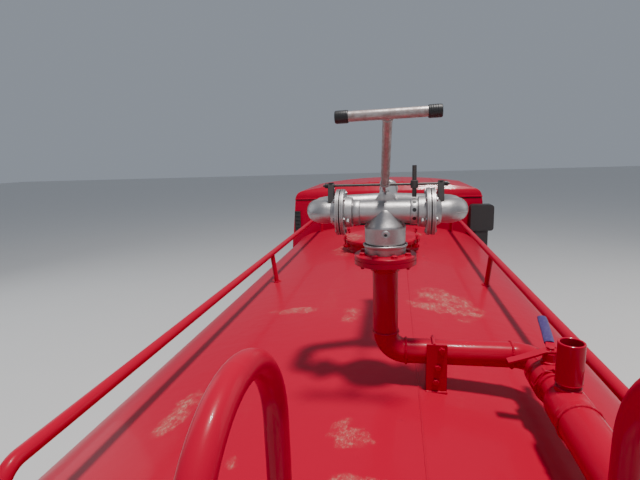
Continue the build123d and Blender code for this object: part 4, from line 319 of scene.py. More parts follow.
def seat_cloth():
    """Woven cloth: two crossed ribs a millimetre apart, faded in patches."""
    cloth = Finish("seat_cloth", (0.055, 0.058, 0.066), 0.88, Sheen_Weight=0.35)
    rib = 1800.0
    weave = ((cloth.along("X") * rib).sine() * (cloth.along("Y") * rib).sine()
             + (cloth.along("Z") * rib).sine())
    cloth.tint(weave.between(-1.0, 2.0) * 0.5, (0.105, 0.11, 0.125))
    cloth.tint(cloth.grain(0.12, 3.0).between(0.4, 0.7) * 0.35, (0.13, 0.125, 0.12))
    cloth.raise_by(weave, 0.0003)
    return cloth


def clear_glass(name, colour, alpha):
    """Pane with a faint film of dust."""
    pane = Finish(name, colour, 0.04, IOR=1.45, Coat_Weight=0.0)
    film = pane.grain(0.2, 4.0).between(0.45, 0.8)
    pane.vary("Roughness", 0.03 + 0.2 * film)
    pane.vary("Alpha", alpha + 0.1 * film)
    return pane


def lamp(name, colour, **slot):
    """Moulded lens with fine prisms."""
    lens = Finish(name, colour, 0.1, **slot, Coat_Weight=0.6, Coat_Roughness=0.05)
    pitch = 420.0
    prism = (lens.along("X") * pitch).sine() * (lens.along("Z") * pitch).sine()
    lens.tint(prism.between(-1.0, 1.0) * 0.45, tuple(shade * 0.45 for shade in colour))
    lens.vary("Roughness", 0.08 + 0.12 * lens.grain(0.05, 3.0))
    lens.raise_by(prism, 0.0006)
    return lens


RED = red_paint()
SILVER = cast_silver()
BAR = bare_bar()
STEEL = tank_steel()
DARK = painted("dark_steel", (0.085, 0.075, 0.072), 0.42, 0.0, 0.004, 0.0002, slot="tank_steel",
               Metallic=0.6)
BLACK = painted("chassis_black", (0.018, 0.018, 0.019), 0.48)
ENGINE = painted("engine_iron", (0.085, 0.1, 0.11), 0.55, 0.6)
RUBBER = tyre_rubber()
RIM = painted("rim_silver", (0.5, 0.51, 0.52), 0.36, 0.55, Metallic=0.55)
PUMP = painted("pump_iron", (0.43, 0.002, 0.024), 0.42, 0.35, Specular_IOR_Level=0.2)
GLASS = clear_glass("glass", (0.02, 0.035, 0.035), 0.24)
PLASTIC = painted("black_plastic", (0.022, 0.022, 0.023), 0.52, 0.35, 0.0012, 0.00012)
DASH = painted("dash_plastic", (0.11, 0.11, 0.115), 0.62, 0.0, 0.0014, 0.0002)
CLOTH = seat_cloth()
CLEAR = lamp("lamp_clear", (0.62, 0.64, 0.65))
TAIL = lamp("lamp_red", (0.46, 0.008, 0.008))
AMBER = lamp("lamp_amber", (0.72, 0.2, 0.012), slot="lamp_clear")
VINYL = grip_vinyl()
CAP = painted("cap_rubber", (0.012, 0.012, 0.013), 0.42, 0.0, 0.003, 0.0002, slot="black_plastic")
MIRROR = painted("mirror_glass", (0.7, 0.72, 0.73), 0.04, 0.0, 0.05, 0.00002, slot="glass", Metallic=1.0)


def dress(finish, *nodes):
    """Gives CAD nodes a finish by their material slots."""
    for name in nodes:
        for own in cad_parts[name].material_slots:
            own.link = "OBJECT"
            own.material = finish.material


# Forms: each is a list of points and a list of faces on them

X, Y, Z = Vector((1, 0, 0)), Vector((0, 1, 0)), Vector((0, 0, 1))
SIDES = ((-1, "left"), (1, "right"))


def around(count, right, up, start=0.0):
    """Even steps round a circle: the angle of each and its way out from the middle."""
    for index in range(count):
        angle = math.tau * (index + start) / count
        yield angle, right * math.cos(angle) + up * math.sin(angle)


def ring_points(centre, across, upward, radius, steps, start=0.0):
    """Points of one ring, counted from its start angle."""
    angles = [start + math.tau * step / steps for step in range(steps)]
    return [centre + across * (radius * math.cos(a)) + upward * (radius * math.sin(a)) for a in angles]


def square_to(direction):
    """Two unit vectors square to a direction and to each other."""
    direction = Vector(direction).normalized()
    helper = Z if abs(direction.z) < 0.9 else Y
    across = direction.cross(helper).normalized()
    return across, across.cross(direction)


def skin(rings, ends=True, loop=False):
    """Quads between rings of equal counts; ends closes both with one face."""
    steps = len(rings[0])
    points = [point for ring in rings for point in ring]
    faces = []
    pairs = len(rings) if loop else len(rings) - 1
    for index in range(pairs):
        low, high = index * steps, ((index + 1) % len(rings)) * steps
        for step in range(steps):
            following = (step + 1) % steps
            faces.append((low + step, low + following, high + following, high + step))
    if ends and not loop:
        faces.append(tuple(range(steps))[::-1])
        faces.append(tuple(range(len(points) - steps, len(points))))
    return points, faces


def lathe(at, axis, profile, steps=40, ends=True, start=0.0):
    """Turned form; the profile is (along the axis, radius)."""
    at, axis = Vector(at), Vector(axis).normalized()
    across, upward = square_to(axis)
    return skin([ring_points(at + axis * along, across, upward, max(radius, 0.0004), steps, start)
                 for along, radius in profile], ends)


def rounded(points, bend, steps=7):
    """A path with its corners rounded to a bend radius."""
    points = [Vector(point) for point in points]
    path = [points[0]]
    for before, corner, after in zip(points, points[1:], points[2:]):
        back, on = (before - corner).normalized(), (after - corner).normalized()
        angle = back.angle(on)
        reach = bend / math.tan(angle / 2)
        middle = corner + (back + on).normalized() * (bend / math.sin(angle / 2))
        first = (corner + back * reach - middle).normalized()
        last = (corner + on * reach - middle).normalized()
        for step in range(steps + 1):
            path.append(middle + first.slerp(last, step / steps) * bend)
    path.append(points[-1])
    return path


def closed(points, bend, steps=5):
    """A closed outline with rounded corners, as points that run round it once."""
    points = [Vector(point) for point in points]
    middle = (points[0] + points[-1]) / 2
    return rounded([middle, *points, middle], bend, steps)[:-1]


def tube(path, radius, steps=24, ends=True, flat=1.0, loop=False):
    """Round bar along a path; radius is one number or one for each point."""
    path = [Vector(point) for point in path]
    radii = radius if isinstance(radius, (list, tuple)) else [radius] * len(path)
    across = None
    rings = []
    for index, point in enumerate(path):
        before = path[index - 1] if index or loop else point
        after = path[(index + 1) % len(path)] if loop or index + 1 < len(path) else point
        way = (after - before).normalized()
        if across is None:
            across = square_to(way)[0]
        across = (across - way * across.dot(way)).normalized()
        upward = across.cross(way)
        rings.append(ring_points(point, across, upward * flat, radii[index], steps))
    return skin(rings, ends, loop)


def hoop(at, axis, radius, section, steps=56, section_steps=8, ripple=0.0):
    """Torus; with a ripple it is a weld bead."""
    at, axis = Vector(at), Vector(axis).normalized()
    across, upward = square_to(axis)
    rings = []
    for step in range(steps):
        angle = math.tau * step / steps
        out = across * math.cos(angle) + upward * math.sin(angle)
        size = section * (1.0 + ripple * math.sin(step * 2.4) + ripple * 0.6 * math.sin(step * 5.3))
        rings.append(ring_points(at + out * radius, out, axis, size, section_steps))
    return skin(rings, loop=True)


def plate(outline, along):
    """Flat plate: an outline of points and the way it is thick."""
    outline = [Vector(point) for point in outline]
    return skin([outline, [point + Vector(along) for point in outline]])


def block(corner, opposite):
    """Box between two opposite corners."""
    (x0, x1), (y0, y1), (z0, z1) = (sorted(pair) for pair in zip(corner, opposite))
    return plate([(x0, y0, z0), (x1, y0, z0), (x1, y1, z0), (x0, y1, z0)], (0, 0, z1 - z0))


def hex_bolt(at, axis, across_flats, height, washer=True, turn=0.0):
    """Hexagon head with a chamfered top on its washer."""
    corner = across_flats / math.sqrt(3.0)
    head = lathe(at, axis, [(0.0, corner), (height * 0.82, corner), (height, corner * 0.86)], 6, start=turn)
    if not washer:
        return [head]
    return [head, lathe(at, axis, [(-0.0002, corner * 1.12), (0.0018, corner * 1.12)], 20)]


def bolt_ring(centre, axis, right, up, radius, count, start, across_flats, height, washer=True):
    """Hexagon heads round a circle, each turned with its place."""
    bolts = []
    for angle, out in around(count, right, up, start):
        bolts += hex_bolt(centre + out * radius, axis, across_flats, height, washer, angle)
    return bolts


def stud(at, axis, radius, length, pitch=0.0015):
    """Threaded end."""
    profile = []
    for index in range(int(length / pitch)):
        profile += [(pitch * index, radius * 0.88), (pitch * (index + 0.5), radius)]
    return lathe(at, axis, profile, 14)


def turned_up(forms, centre, degrees):
    """The same forms turned about a line across the truck, their front end up."""
    turn = Matrix.Rotation(math.radians(degrees), 3, "X")
    return [([centre + turn @ (Vector(point) - centre) for point in points], faces)
            for points, faces in forms]


def piece(name, body, finish, forms, bevel=0.0, smooth=35.0, stands_for=()):
    """One named piece of the visual model, riding on its body, in its finish's material."""
    points, faces = [], []
    for form_points, form_faces in forms:
        start = len(points)
        points.extend(form_points)
        faces.extend(tuple(start + corner for corner in face) for face in form_faces)
    mesh = bpy.data.meshes.new(name)
    mesh.from_pydata(points, [], faces)
    work = bmesh.new()
    work.from_mesh(mesh)
    bmesh.ops.recalc_face_normals(work, faces=work.faces)
    work.to_mesh(mesh)
    work.free()
    mesh.materials.append(finish.material)
    mesh.shade_smooth()
    mesh.set_sharp_from_angle(angle=math.radians(smooth))
    made = bpy.data.objects.new(name, mesh)
    bpy.context.scene.collection.objects.link(made)
    if bevel:
        edge = made.modifiers.new("edge", "BEVEL")
        edge.width, edge.segments, edge.limit_method = bevel, 2, "ANGLE"
        edge.angle_limit = math.radians(32.0)
        edge.harden_normals = False
    if stands_for:
        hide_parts(*stands_for)
    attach(made, body)


def both_ways(profile):
    """A profile and its mirror image along the axis, in one run."""
    return [(-along, radius) for along, radius in reversed(profile)] + list(profile)


# Monitor: fixed cup on the riser's flange

FLANGE_CIRCLE = 0.0725
FLANGE_BOLTS = 8
FLANGE_THICK = 0.0283


def monitor_foot():
    """Fixed flange and cup under the turret, with the weld and the bolts."""
    piece("monitor_foot_flange", "chassis", RED, [
        lathe(MONITOR + Z * FLANGE_TOP, Z, [(-0.014, FLANGE_RADIUS - 0.002), (-0.013, FLANGE_RADIUS),
                                            (-0.002, FLANGE_RADIUS), (0.0, FLANGE_RADIUS - 0.002),
                                            (0.0002, 0.064)], 72),
        hoop(MONITOR + Z * (FLANGE_TOP + 0.0005), Z, 0.0625, 0.0035, 80, 8, 0.18),
    ], stands_for=("monitor_base",))
    neck = SWIVEL_LOW - FLANGE_TOP
    cup = lathe(MONITOR + Z * FLANGE_TOP, Z, [
        (-0.001, 0.06), (0.004, 0.061), (0.018, 0.061), (0.024, 0.064), (0.0275, 0.0663),
        (neck - 0.006, 0.0663), (neck - 0.005, 0.065), (neck - 0.0056, 0.061), (neck - 0.009, 0.059),
        (neck - 0.01, 0.03)], 80)
    piece("monitor_foot_cup", "chassis", SILVER, [cup])
    bolts, ends = [], []
    for angle, out in around(FLANGE_BOLTS, X, Y, 0.5):
        spot = MONITOR + out * FLANGE_CIRCLE + Z * FLANGE_TOP
        under = spot - Z * FLANGE_THICK
        bolts += hex_bolt(spot, Z, 0.017, 0.0075, True, angle)
        bolts += hex_bolt(under, -Z, 0.017, 0.008, True, angle * 1.7)
        ends.append(stud(under - Z * 0.007, -Z, 0.005, 0.009))
    piece("monitor_flange_bolts", "chassis", RED, bolts + ends, bevel=0.0004)


monitor_foot()


# Monitor: panning body

# Half the cross tube: distance from its middle, radius
CROSS_TUBE_HALF = [
    (0.0, 0.0335), (0.072, 0.0335), (0.073, 0.0365), (0.0745, 0.0375), (0.093, 0.0375), (0.0945, 0.0365),
    (0.0952, 0.0425), (0.0968, 0.0446), (0.1165, 0.046), (0.118, 0.0665), (0.119, 0.0685), (0.1232, 0.069),
    (0.1236, 0.0673), (0.1242, 0.0673), (0.1246, 0.069), (0.1285, 0.069), (0.1295, 0.0676), (0.1297, 0.03)]
INDEX_BAND = 0.0838
INDEX_ANGLES = (53.0, 14.0, -25.0, 92.0)
SCREW_COUNT = 6


def monitor_turret():
    """Bell, cross tube and its flanges, with the grease plug, black discs painted as the shade in the
    plug's socket and the index holes, screws and bosses.
    """
    bell = lathe(MONITOR + Z * SWIVEL_LOW, Z, [
        (-0.0045, 0.052), (-0.004, 0.0585), (0.0, 0.0598), (0.041, 0.0605), (0.0435, 0.0612),
        (0.0475, 0.0608), (0.051, 0.0585), (0.056, 0.0548), (0.066, 0.048), (0.078, 0.0415),
        (0.089, 0.037), (0.097, 0.033), (0.103, 0.024)], 80)
    centre = MONITOR + Z * CROSS_TUBE
    cross = lathe(centre, X, [(-a, r) for a, r in reversed(CROSS_TUBE_HALF)] + CROSS_TUBE_HALF[1:], 80)
    piece("monitor_turret_casting", "monitor_turret", SILVER, [bell, cross], stands_for=("monitor_swivel",))
    plug = MONITOR + X * 0.003 + Z * (SWIVEL_LOW + 0.029) - Y * 0.0595
    plug_face = plug - Y * 0.0036
    piece("monitor_grease_plug", "monitor_turret", SILVER, [
        lathe(plug, -Y, [(-0.002, 0.0125), (0.0026, 0.0125), (0.0034, 0.0115), (0.0036, 0.008)], 36),
        hoop(plug_face, Y, 0.0078, 0.0016, 32, 8)])
    # Black discs painted as the shade inside the plug's hexagon socket and the index holes
    hole_shade_discs = [lathe(plug_face, -Y, [(0.0, 0.0048), (0.0008, 0.0048)], 6)]
    for degrees in INDEX_ANGLES:
        angle = math.radians(degrees)
        out = -Y * math.cos(angle) + Z * math.sin(angle)
        spot = centre + X * INDEX_BAND + out * 0.0368
        hole_shade_discs.append(lathe(spot, out, [(0.0, 0.0057), (0.0008, 0.0057)], 24))
    piece("monitor_index_hole_shade", "monitor_turret", CAP, hole_shade_discs)
    screws, bosses = [], []
    for side in (-1, 1):
        screws += bolt_ring(centre + X * (side * 0.118), X * -side, Y, Z, 0.0575, SCREW_COUNT, 0.25,
                            0.0095, 0.0045, False)
        for degrees in (205.0, 335.0):
            angle = math.radians(degrees)
            out = Y * math.cos(angle) + Z * math.sin(angle)
            bosses.append(lathe(centre + X * (side * 0.1065) + out * 0.044, out,
                                [(0.0, 0.006), (0.014, 0.0055), (0.015, 0.0045)], 18))
    piece("monitor_swivel_screws", "monitor_turret", STEEL, screws, bevel=0.0003)
    piece("monitor_lock_bosses", "monitor_turret", SILVER, bosses)


monitor_turret()


# Monitor: tilting barrel with its two elbows

ELBOW_OUT = 0.205
ARM_RADIUS = 0.035
GUN_RISE = 1.5
BARREL_TIP = 0.69
# Flange and neck of an elbow: distance from the middle, radius
ELBOW_FLANGE = (
    (0.1314, 0.03), (0.1316, 0.0674), (0.1325, 0.069), (0.1364, 0.069), (0.1368, 0.0673), (0.1374, 0.0673),
    (0.1378, 0.069), (0.142, 0.069), (0.143, 0.0674), (0.1436, 0.044), (0.148, 0.0405), (0.155, 0.0385),
    (0.16, 0.033))


def monitor_gun():
    """Elbows that meet in the barrel, the muzzle with its lip and baffle, and the flange screws."""
    centre = MONITOR + Z * CROSS_TUBE
    elbows = []
    for side in (-1, 1):
        outer = X * (side * ELBOW_OUT)
        path = rounded([centre + X * (side * 0.141), centre + outer, centre + outer + Y * 0.15,
                        centre + Y * 0.215], 0.04, 12)
        radii = []
        for index, point in enumerate(path):
            swell = max(0.0, 1.0 - abs(index - 7) / 8.0)
            bent = abs(point.x - centre.x) > 0.09
            radii.append(0.0315 + 0.0035 * min(1.0, swell * 2.0) if bent else 0.033)
        elbows += [tube(path, radii, 40), lathe(centre, X * side, ELBOW_FLANGE, 80),
                   hoop(centre + X * (side * 0.2045) + Y * 0.03, Y, 0.0345, 0.0022, 64, 8)]
        rib = []
        for degrees in range(20, 100, 10):
            angle = math.radians(degrees)
            rib.append(centre + X * (side * (ELBOW_OUT + 0.0335 * math.cos(angle) - 0.004))
                       + Y * (0.006 - 0.0335 * math.sin(angle)))
        elbows.append(tube(rib, 0.0012, 6))
    elbows.append(lathe(centre, Y, [(0.164, 0.028), (0.168, 0.037), (0.176, 0.04), (0.236, 0.0392),
                                    (0.244, 0.0385), (0.256, 0.0366), (0.262, 0.0358), (0.266, 0.03)], 72))
    tip = centre + Y * BARREL_TIP
    barrel = [
        lathe(centre, Y, [(0.262, 0.03), (0.263, 0.0352), (BARREL_TIP - 0.052, 0.0314),
                          (BARREL_TIP - 0.05, 0.026)], 64),
        lathe(tip, Y, [(-0.053, 0.029), (-0.052, 0.0345), (-0.049, 0.0385), (-0.045, 0.04),
                       (-0.006, 0.0406), (-0.001, 0.0398), (-0.0004, 0.038), (-0.0004, 0.033),
                       (-0.01, 0.03), (-0.045, 0.024), (-0.046, 0.01)], 64)]
    baffle = [lathe(tip, Y, [(-0.04, 0.006), (-0.012, 0.006), (-0.01, 0.016), (-0.006, 0.0165),
                             (-0.005, 0.015)], 40)]
    spider = tip - Y * 0.03
    baffle += [tube([spider, spider + out * 0.027], 0.0016, 8) for _, out in around(3, X, Z)]
    screws = []
    for side in (-1, 1):
        screws += bolt_ring(centre + X * (side * 0.1429), X * side, Y, Z, 0.056, SCREW_COUNT, 0.25,
                            0.011, 0.0055)
    for name, finish, forms, bevel, stands_for in (
            ("monitor_gun_elbows", SILVER, elbows, 0.0, ("monitor_barrel",)),
            ("monitor_gun_barrel", SILVER, barrel, 0.0, ()),
            ("monitor_gun_lip", CAP, [hoop(tip - Y * 0.002, Y, 0.0335, 0.0016, 56, 8)], 0.0, ()),
            ("monitor_gun_baffle", SILVER, baffle, 0.0, ()),
            ("monitor_gun_screws", STEEL, screws, 0.0003, ())):
        piece(name, "monitor_gun", finish, turned_up(forms, centre, GUN_RISE), bevel, stands_for=stands_for)


monitor_gun()


# Monitor: T-handle, its yoke and the lock

HANDLE_TOP = Vector((0.09, -2.09, 2.6))
HANDLE_HALF = 0.126
HANDLE_SLOPE = math.radians(1.0)
CAP_LONG = 0.029
YOKE = CROSS_TUBE + 0.08
YOKE_HALF = 0.183
LUG_OUT = 0.159
LOCK_PIN = 0.0845
STRUT = -0.003


def monitor_tiller():
    """T-handle with capped ends, the yoke bar on its two lugs, the lock pin and the strut."""
    along = Vector((math.cos(HANDLE_SLOPE), 0.0, math.sin(HANDLE_SLOPE)))
    foot = MONITOR + Z * YOKE
    lean = (HANDLE_TOP - foot).normalized()
    reach = along * (HANDLE_HALF - 0.004)
    piece("monitor_tiller_bars", "monitor_gun", BAR, [
        tube([foot, HANDLE_TOP - lean * 0.002], 0.0125, 32),
        tube([HANDLE_TOP - reach, HANDLE_TOP + reach], 0.013, 32),
        hoop(HANDLE_TOP - lean * 0.0135, lean, 0.0125, 0.0026, 40, 8, 0.25),
        hoop(foot + lean * 0.005, lean, 0.0128, 0.003, 40, 8, 0.25),
    ], stands_for=("monitor_handle",))
    piece("monitor_yoke_bar", "monitor_gun", DARK,
          [tube([foot - X * YOKE_HALF, foot + X * YOKE_HALF], 0.0038, 20)])
    caps, lugs, nuts = [], [], []
    for side in (-1, 1):
        start = HANDLE_TOP + along * (side * (HANDLE_HALF - CAP_LONG))
        caps.append(lathe(start, along * side, [(0.0, 0.0145), (0.0008, 0.0157), (0.003, 0.0161),
                                                (0.029, 0.0161), (0.0325, 0.0154), (0.0338, 0.0138),
                                                (0.034, 0.005)], 40))
        for ridge in range(4):
            spot = start + along * (side * (0.006 + ridge * 0.0055))
            caps.append(hoop(spot, along, 0.0157, 0.0008, 40, 6))
        lug = foot + X * (side * LUG_OUT)
        low = CROSS_TUBE + ARM_RADIUS - 0.004 - YOKE
        lugs.append(plate([lug + Vector((-0.009, y, z)) for y, z in (
            (-0.016, low), (0.016, low), (0.01, -0.004), (0.007, 0.006), (-0.007, 0.006), (-0.01, -0.004))],
                          X * 0.018))
        nuts.append(lathe(lug + Z * 0.0055, Z, [(0.0, 0.0085), (0.003, 0.0085), (0.0036, 0.007)], 24))
        nuts.append(lathe(lug + X * (side * 0.01), X * side,
                          [(0.0, 0.0075), (0.008, 0.0075), (0.009, 0.006)], 24))
    piece("monitor_tiller_caps", "monitor_gun", CAP, caps)
    piece("monitor_tiller_lugs", "monitor_gun", DARK, lugs, bevel=0.0012)
    piece("monitor_tiller_nuts", "monitor_gun", CAP, nuts)
    lock = MONITOR + Vector((LOCK_PIN, 0.0, CROSS_TUBE))
    piece("monitor_lock_pin", "monitor_gun", DARK, [
        tube([lock + Z * 0.043, lock + Z * 0.134], 0.0065, 24),
        lathe(lock + Z * 0.068, Z, [(0.0, 0.0085), (0.0015, 0.011), (0.022, 0.011), (0.0235, 0.0085)], 28)])
    strut = MONITOR + Vector((STRUT, 0.0, CROSS_TUBE))
    path = [strut + Y * y + Z * z for y, z in ((0.0, 0.078), (0.02, 0.064), (0.15, 0.049), (0.19, 0.048))]
    piece("monitor_tilt_strut", "monitor_gun", STEEL, [
        tube(rounded(path, 0.012, 5), 0.0052, 16),
        lathe(strut + Y * 0.192 + Z * 0.041, Z, [(0.0, 0.012), (0.006, 0.012), (0.0085, 0.01),
                                                 (0.01, 0.006)], 24)])


monitor_tiller()


# Pipework: collars, weld beads, bracket bolts, valve, lever and open stub

WIDE_PIPE = -2.225
WIDE_RADIUS = 0.048
DROP_PIPE = -2.905
LEVER_RISE = 1.98
LEVER_SECTION = ((0.014, 0.003), (-0.014, 0.003), (-0.014, -0.003), (0.014, -0.003))


def tank_height(x):
    """Height of the tank's crown at x from its middle."""
    return TANK_TOP - TANK_CROWN + math.sqrt(TANK_CROWN ** 2 - x * x)


def pipe_fittings():
    """Riser collar and flange, weld beads, and the bracket's bolts with its strap."""
    low = MONITOR + Z * (FLANGE_TOP - FLANGE_THICK)
    piece("riser_collar", "chassis", RED, [
        lathe(low, Z, [(0.0002, 0.052), (-0.011, 0.0505), (-0.0125, 0.0455), (-0.022, 0.044),
                       (-0.026, 0.0384)], 56),
        lathe(low, Z, [(-0.0004, 0.0905), (0.001, 0.093), (0.0135, 0.093), (0.0142, 0.0915),
                       (0.0143, 0.06)], 72)])
    beads = [hoop(at, axis, radius + 0.0006, 0.0036, 84, 8, 0.16) for at, axis, radius in (
        (MONITOR + Z * (PIPE_HEIGHT + 0.063), Z, PIPE_RADIUS),
        ((MONITOR.x + 0.062, MONITOR.y, PIPE_HEIGHT), X, PIPE_RADIUS),
        ((LONG_PIPE - 0.062, MONITOR.y, PIPE_HEIGHT), X, PIPE_RADIUS),
        ((LONG_PIPE, MONITOR.y - 0.062, PIPE_HEIGHT), Y, PIPE_RADIUS),
        ((LONG_PIPE, WIDE_PIPE - 0.036, PIPE_HEIGHT), Y, WIDE_RADIUS),
        ((LONG_PIPE, DROP_PIPE + 0.102, PIPE_HEIGHT), Y, WIDE_RADIUS),
        ((LONG_PIPE, DROP_PIPE, 1.797), Z, WIDE_RADIUS),
        ((LONG_PIPE, DROP_PIPE, 0.64), Z, WIDE_RADIUS))]
    foot = Vector((BRACKET - 0.032, MONITOR.y - 0.0535, tank_height(BRACKET) + 0.001))
    beads.append(tube([foot + X * (0.0064 * k) for k in range(11)],
                      [0.0042 + 0.0009 * math.sin(k * 2.3) for k in range(11)], 8))
    piece("pipe_weld_beads", "chassis", RED, beads)
    bolts = []
    for x, z, turn in ((0.244, 1.927, 0.3), (0.233, 1.872, 0.7), (0.228, 1.826, 1.0)):
        bolts += hex_bolt((x, MONITOR.y - 0.052, z), -Y, 0.0165, 0.007, True, turn)
    strap = [(BRACKET - 0.008, MONITOR.y + y, PIPE_HEIGHT + z)
             for y, z in ((0.002, -0.043), (0.044, -0.043), (0.044, 0.043), (-0.05, 0.043))]
    bolts.append(tube(rounded(strap, 0.038, 8), 0.0045, 14))
    piece("pipe_bracket_bolts", "chassis", RED, bolts, bevel=0.0004)


def valve_and_stub():
    """Ball valve with its bonnet, the bent lever in its sleeve, and the open stub's rings."""
    centre = Vector((LONG_PIPE, VALVE, PIPE_HEIGHT))
    body = [lathe(centre, Y, both_ways([(0.0, 0.0505), (0.01, 0.05), (0.019, 0.047), (0.023, 0.043)]), 56)]
    for side in (-1, 1):
        body.append(lathe(centre + Y * (side * 0.023), Y * side,
                          [(0.0, 0.05), (0.0015, 0.052), (0.0225, 0.052), (0.024, 0.05)], 6))
        body.append(lathe(centre + Y * (side * 0.047), Y * side,
                          [(0.0, 0.043), (0.01, 0.043), (0.012, 0.039)], 48))
    body.append(lathe(centre, Z, [(0.03, 0.024), (0.052, 0.023), (0.054, 0.019), (0.076, 0.018)], 40))
    body += hex_bolt(centre + Z * 0.0545, Z, 0.03, 0.013, False, 0.4)
    body += hex_bolt(centre + Vector((0.004, -0.048, 0.041)), Z, 0.021, 0.012, True, 0.2)
    piece("valve_body", "chassis", RED, body, bevel=0.0006)
    bar = [[Vector((x, VALVE + y, z + up)) for y, up in LEVER_SECTION] for x, z in (
        (0.405, 1.945), (0.44, 1.957), (0.475, 1.97), (0.498, LEVER_RISE), (0.545, LEVER_RISE))]
    neck = []
    for y, wide in ((0.01, 0.013), (0.026, 0.0125), (0.044, 0.0115)):
        middle = Vector((LONG_PIPE + 0.0026 + y * 0.19, VALVE + y, LEVER_RISE + 0.002 + y * 0.11))
        neck.append([middle + Vector((x, 0.0, z))
                     for x, z in ((-wide, 0.003), (wide, 0.003), (wide, -0.003), (-wide, -0.003))])
    stem = hex_bolt((LONG_PIPE, VALVE, LEVER_RISE + 0.003), Z, 0.017, 0.008, True, 0.1)
    piece("valve_lever_plate", "chassis", RED, [skin(bar), skin(neck), *stem], bevel=0.0012,
          stands_for=("valve_lever",))
    path = [(x, VALVE + y, LEVER_RISE + z) for x, y, z in (
        (0.52, 0.036, 0.006), (0.5225, 0.05, 0.0075), (0.531, 0.1, 0.014), (0.541, 0.165, 0.022),
        (0.5435, 0.183, 0.024), (0.544, 0.187, 0.0245))]
    piece("valve_lever_sleeve", "chassis", VINYL,
          [tube(path, [0.013, 0.0138, 0.0136, 0.0138, 0.0128, 0.009], 32, flat=0.55)])
    stub = Vector((LONG_PIPE, STUB, 0.0))
    rings = [
        hoop(stub + Z * 2.0592, Z, 0.0275, 0.0027, 64, 10),
        lathe(stub, Z, [(1.94, 0.029), (1.942, 0.0318), (1.95, 0.0318), (1.952, 0.029)], 8),
        hoop(stub + Z * 1.9625, Z, 0.0288, 0.002, 56, 8),
        hoop(stub + Z * 1.93, Z, 0.031, 0.0045, 64, 8, 0.18),
        lathe((LONG_PIPE, STUB - 0.022, PIPE_HEIGHT), Y,
              both_ways([(0.0, 0.05), (0.03, 0.0497), (0.042, 0.047), (0.052, 0.04)]), 60),
    ]
    rings += [hoop(stub + Z * (1.9535 + 0.0022 * k), Z, 0.0243, 0.0009, 40, 6) for k in range(4)]
    piece("stub_rings", "chassis", RED, rings)


pipe_fittings()
valve_and_stub()


# Tank: section outline, seams, end rims, rail feet and the manhole's clamps

SIDE_BOW = 0.022
SEAM = 0.178
SEAM_STEPS = 220
RAIL_POSTS = ((0.643, -2.6), (0.643, 1.19), (0.6175, -0.66))
LADDER_STILES = (-0.066, 0.41)
HOOP_FEET = -2.647
LADDER = -2.943
LOWEST_RUNG = 1.06
RUNG_PITCH = 0.26
LID = 1.872


def arc(x, z, radius, first, last, steps):
    """Points of an arc about (x, z), without its last one."""
    angles = [first + (last - first) * step / steps for step in range(steps)]
    return [(x + math.cos(angle) * radius, z + math.sin(angle) * radius) for angle in angles]


def tank_outline(y, grow=0.0):
    """Points round the tank's section at y; crown, corner and side are arcs that meet smoothly."""
    middle = (TANK_TOP + TANK_BOTTOM) / 2
    half = TANK_TOP - middle
    rise = tank_height(TANK_SIDE - SIDE_BOW) - middle
    side_radius = (rise ** 2 + SIDE_BOW ** 2) / (2 * SIDE_BOW)
    corner = 0.58 * 2 * rise
    crown_mid, side_mid = half - TANK_CROWN, TANK_SIDE - side_radius
    from_crown, from_side = TANK_CROWN - corner, side_radius - corner
    gap = math.hypot(side_mid, crown_mid)
    along = (from_crown ** 2 - from_side ** 2 + gap ** 2) / (2 * gap)
    off = math.sqrt(from_crown ** 2 - along ** 2)
    way = Vector((side_mid, -crown_mid)) / gap
    base, across = Vector((0.0, crown_mid)) + way * along, Vector((-way.y, way.x))
    knee = max(base + across * off, base - across * off, key=lambda point: point.x)
    start = math.atan2(knee.y - crown_mid, knee.x)
    end = math.atan2(knee.y, knee.x - side_mid)
    quarter = (arc(0.0, crown_mid, TANK_CROWN + grow, math.pi / 2, start, 10)
               + arc(knee.x, knee.y, corner + grow, start, end, 10)
               + arc(side_mid, 0.0, side_radius + grow, end, 0.0, 4))
    right = quarter + [(TANK_SIDE + grow, 0.0)] + [(x, -z) for x, z in reversed(quarter[1:])]
    whole = right + [(0.0, -half - grow)] + [(-x, z) for x, z in reversed(right[1:])]
    return [Vector((x, y, middle + z)) for x, z in whole]


def tank_details():
    """Top seam, end rims, and the welds of the rail posts, the hoops and the ladder's rungs."""
    start, length = TANK_FRONT - 0.05, TANK_REAR - TANK_FRONT + 0.1
    steps = range(SEAM_STEPS + 1)
    line = [(SEAM, start + length * k / SEAM_STEPS, tank_height(SEAM) + 0.0004) for k in steps]
    piece("tank_top_seam", "chassis", RED,
          [tube(line, [0.0024 + 0.0006 * math.sin(k * 1.9) for k in steps], 6, flat=0.6)])
    rims = [tube(tank_outline(y, 0.0015), 0.005, 8, loop=True)
            for y in (TANK_FRONT - 0.046, TANK_REAR + 0.046)]
    piece("tank_end_rims", "chassis", RED, rims)
    feet = []
    for side in (-1, 1):
        for x, y in RAIL_POSTS:
            foot = (side * x, y, tank_height(x) + 0.002)
            feet.append(hoop(foot, (side * 0.18, 0, 1), 0.018, 0.0044, 40, 8, 0.2))
    for x in LADDER_STILES:
        top = Vector((x, HOOP_FEET, tank_height(x)))
        feet.append(hoop(top + Z * 0.002, Z, 0.02, 0.0044, 40, 8, 0.2))
        feet.append(lathe(top - Z * 0.002, Z, [(0.0, 0.042), (0.005, 0.042), (0.006, 0.041)], 32))
    piece("rail_foot_welds", "chassis", RED, feet)
    rungs = []
    for level in range(4):
        for x, way in zip(LADDER_STILES, (1, -1)):
            at = (x + way * 0.0186, LADDER, LOWEST_RUNG + RUNG_PITCH * level)
            rungs.append(hoop(at, X, 0.0135, 0.003, 32, 6, 0.2))
    piece("ladder_rung_welds", "chassis", RED, rungs)


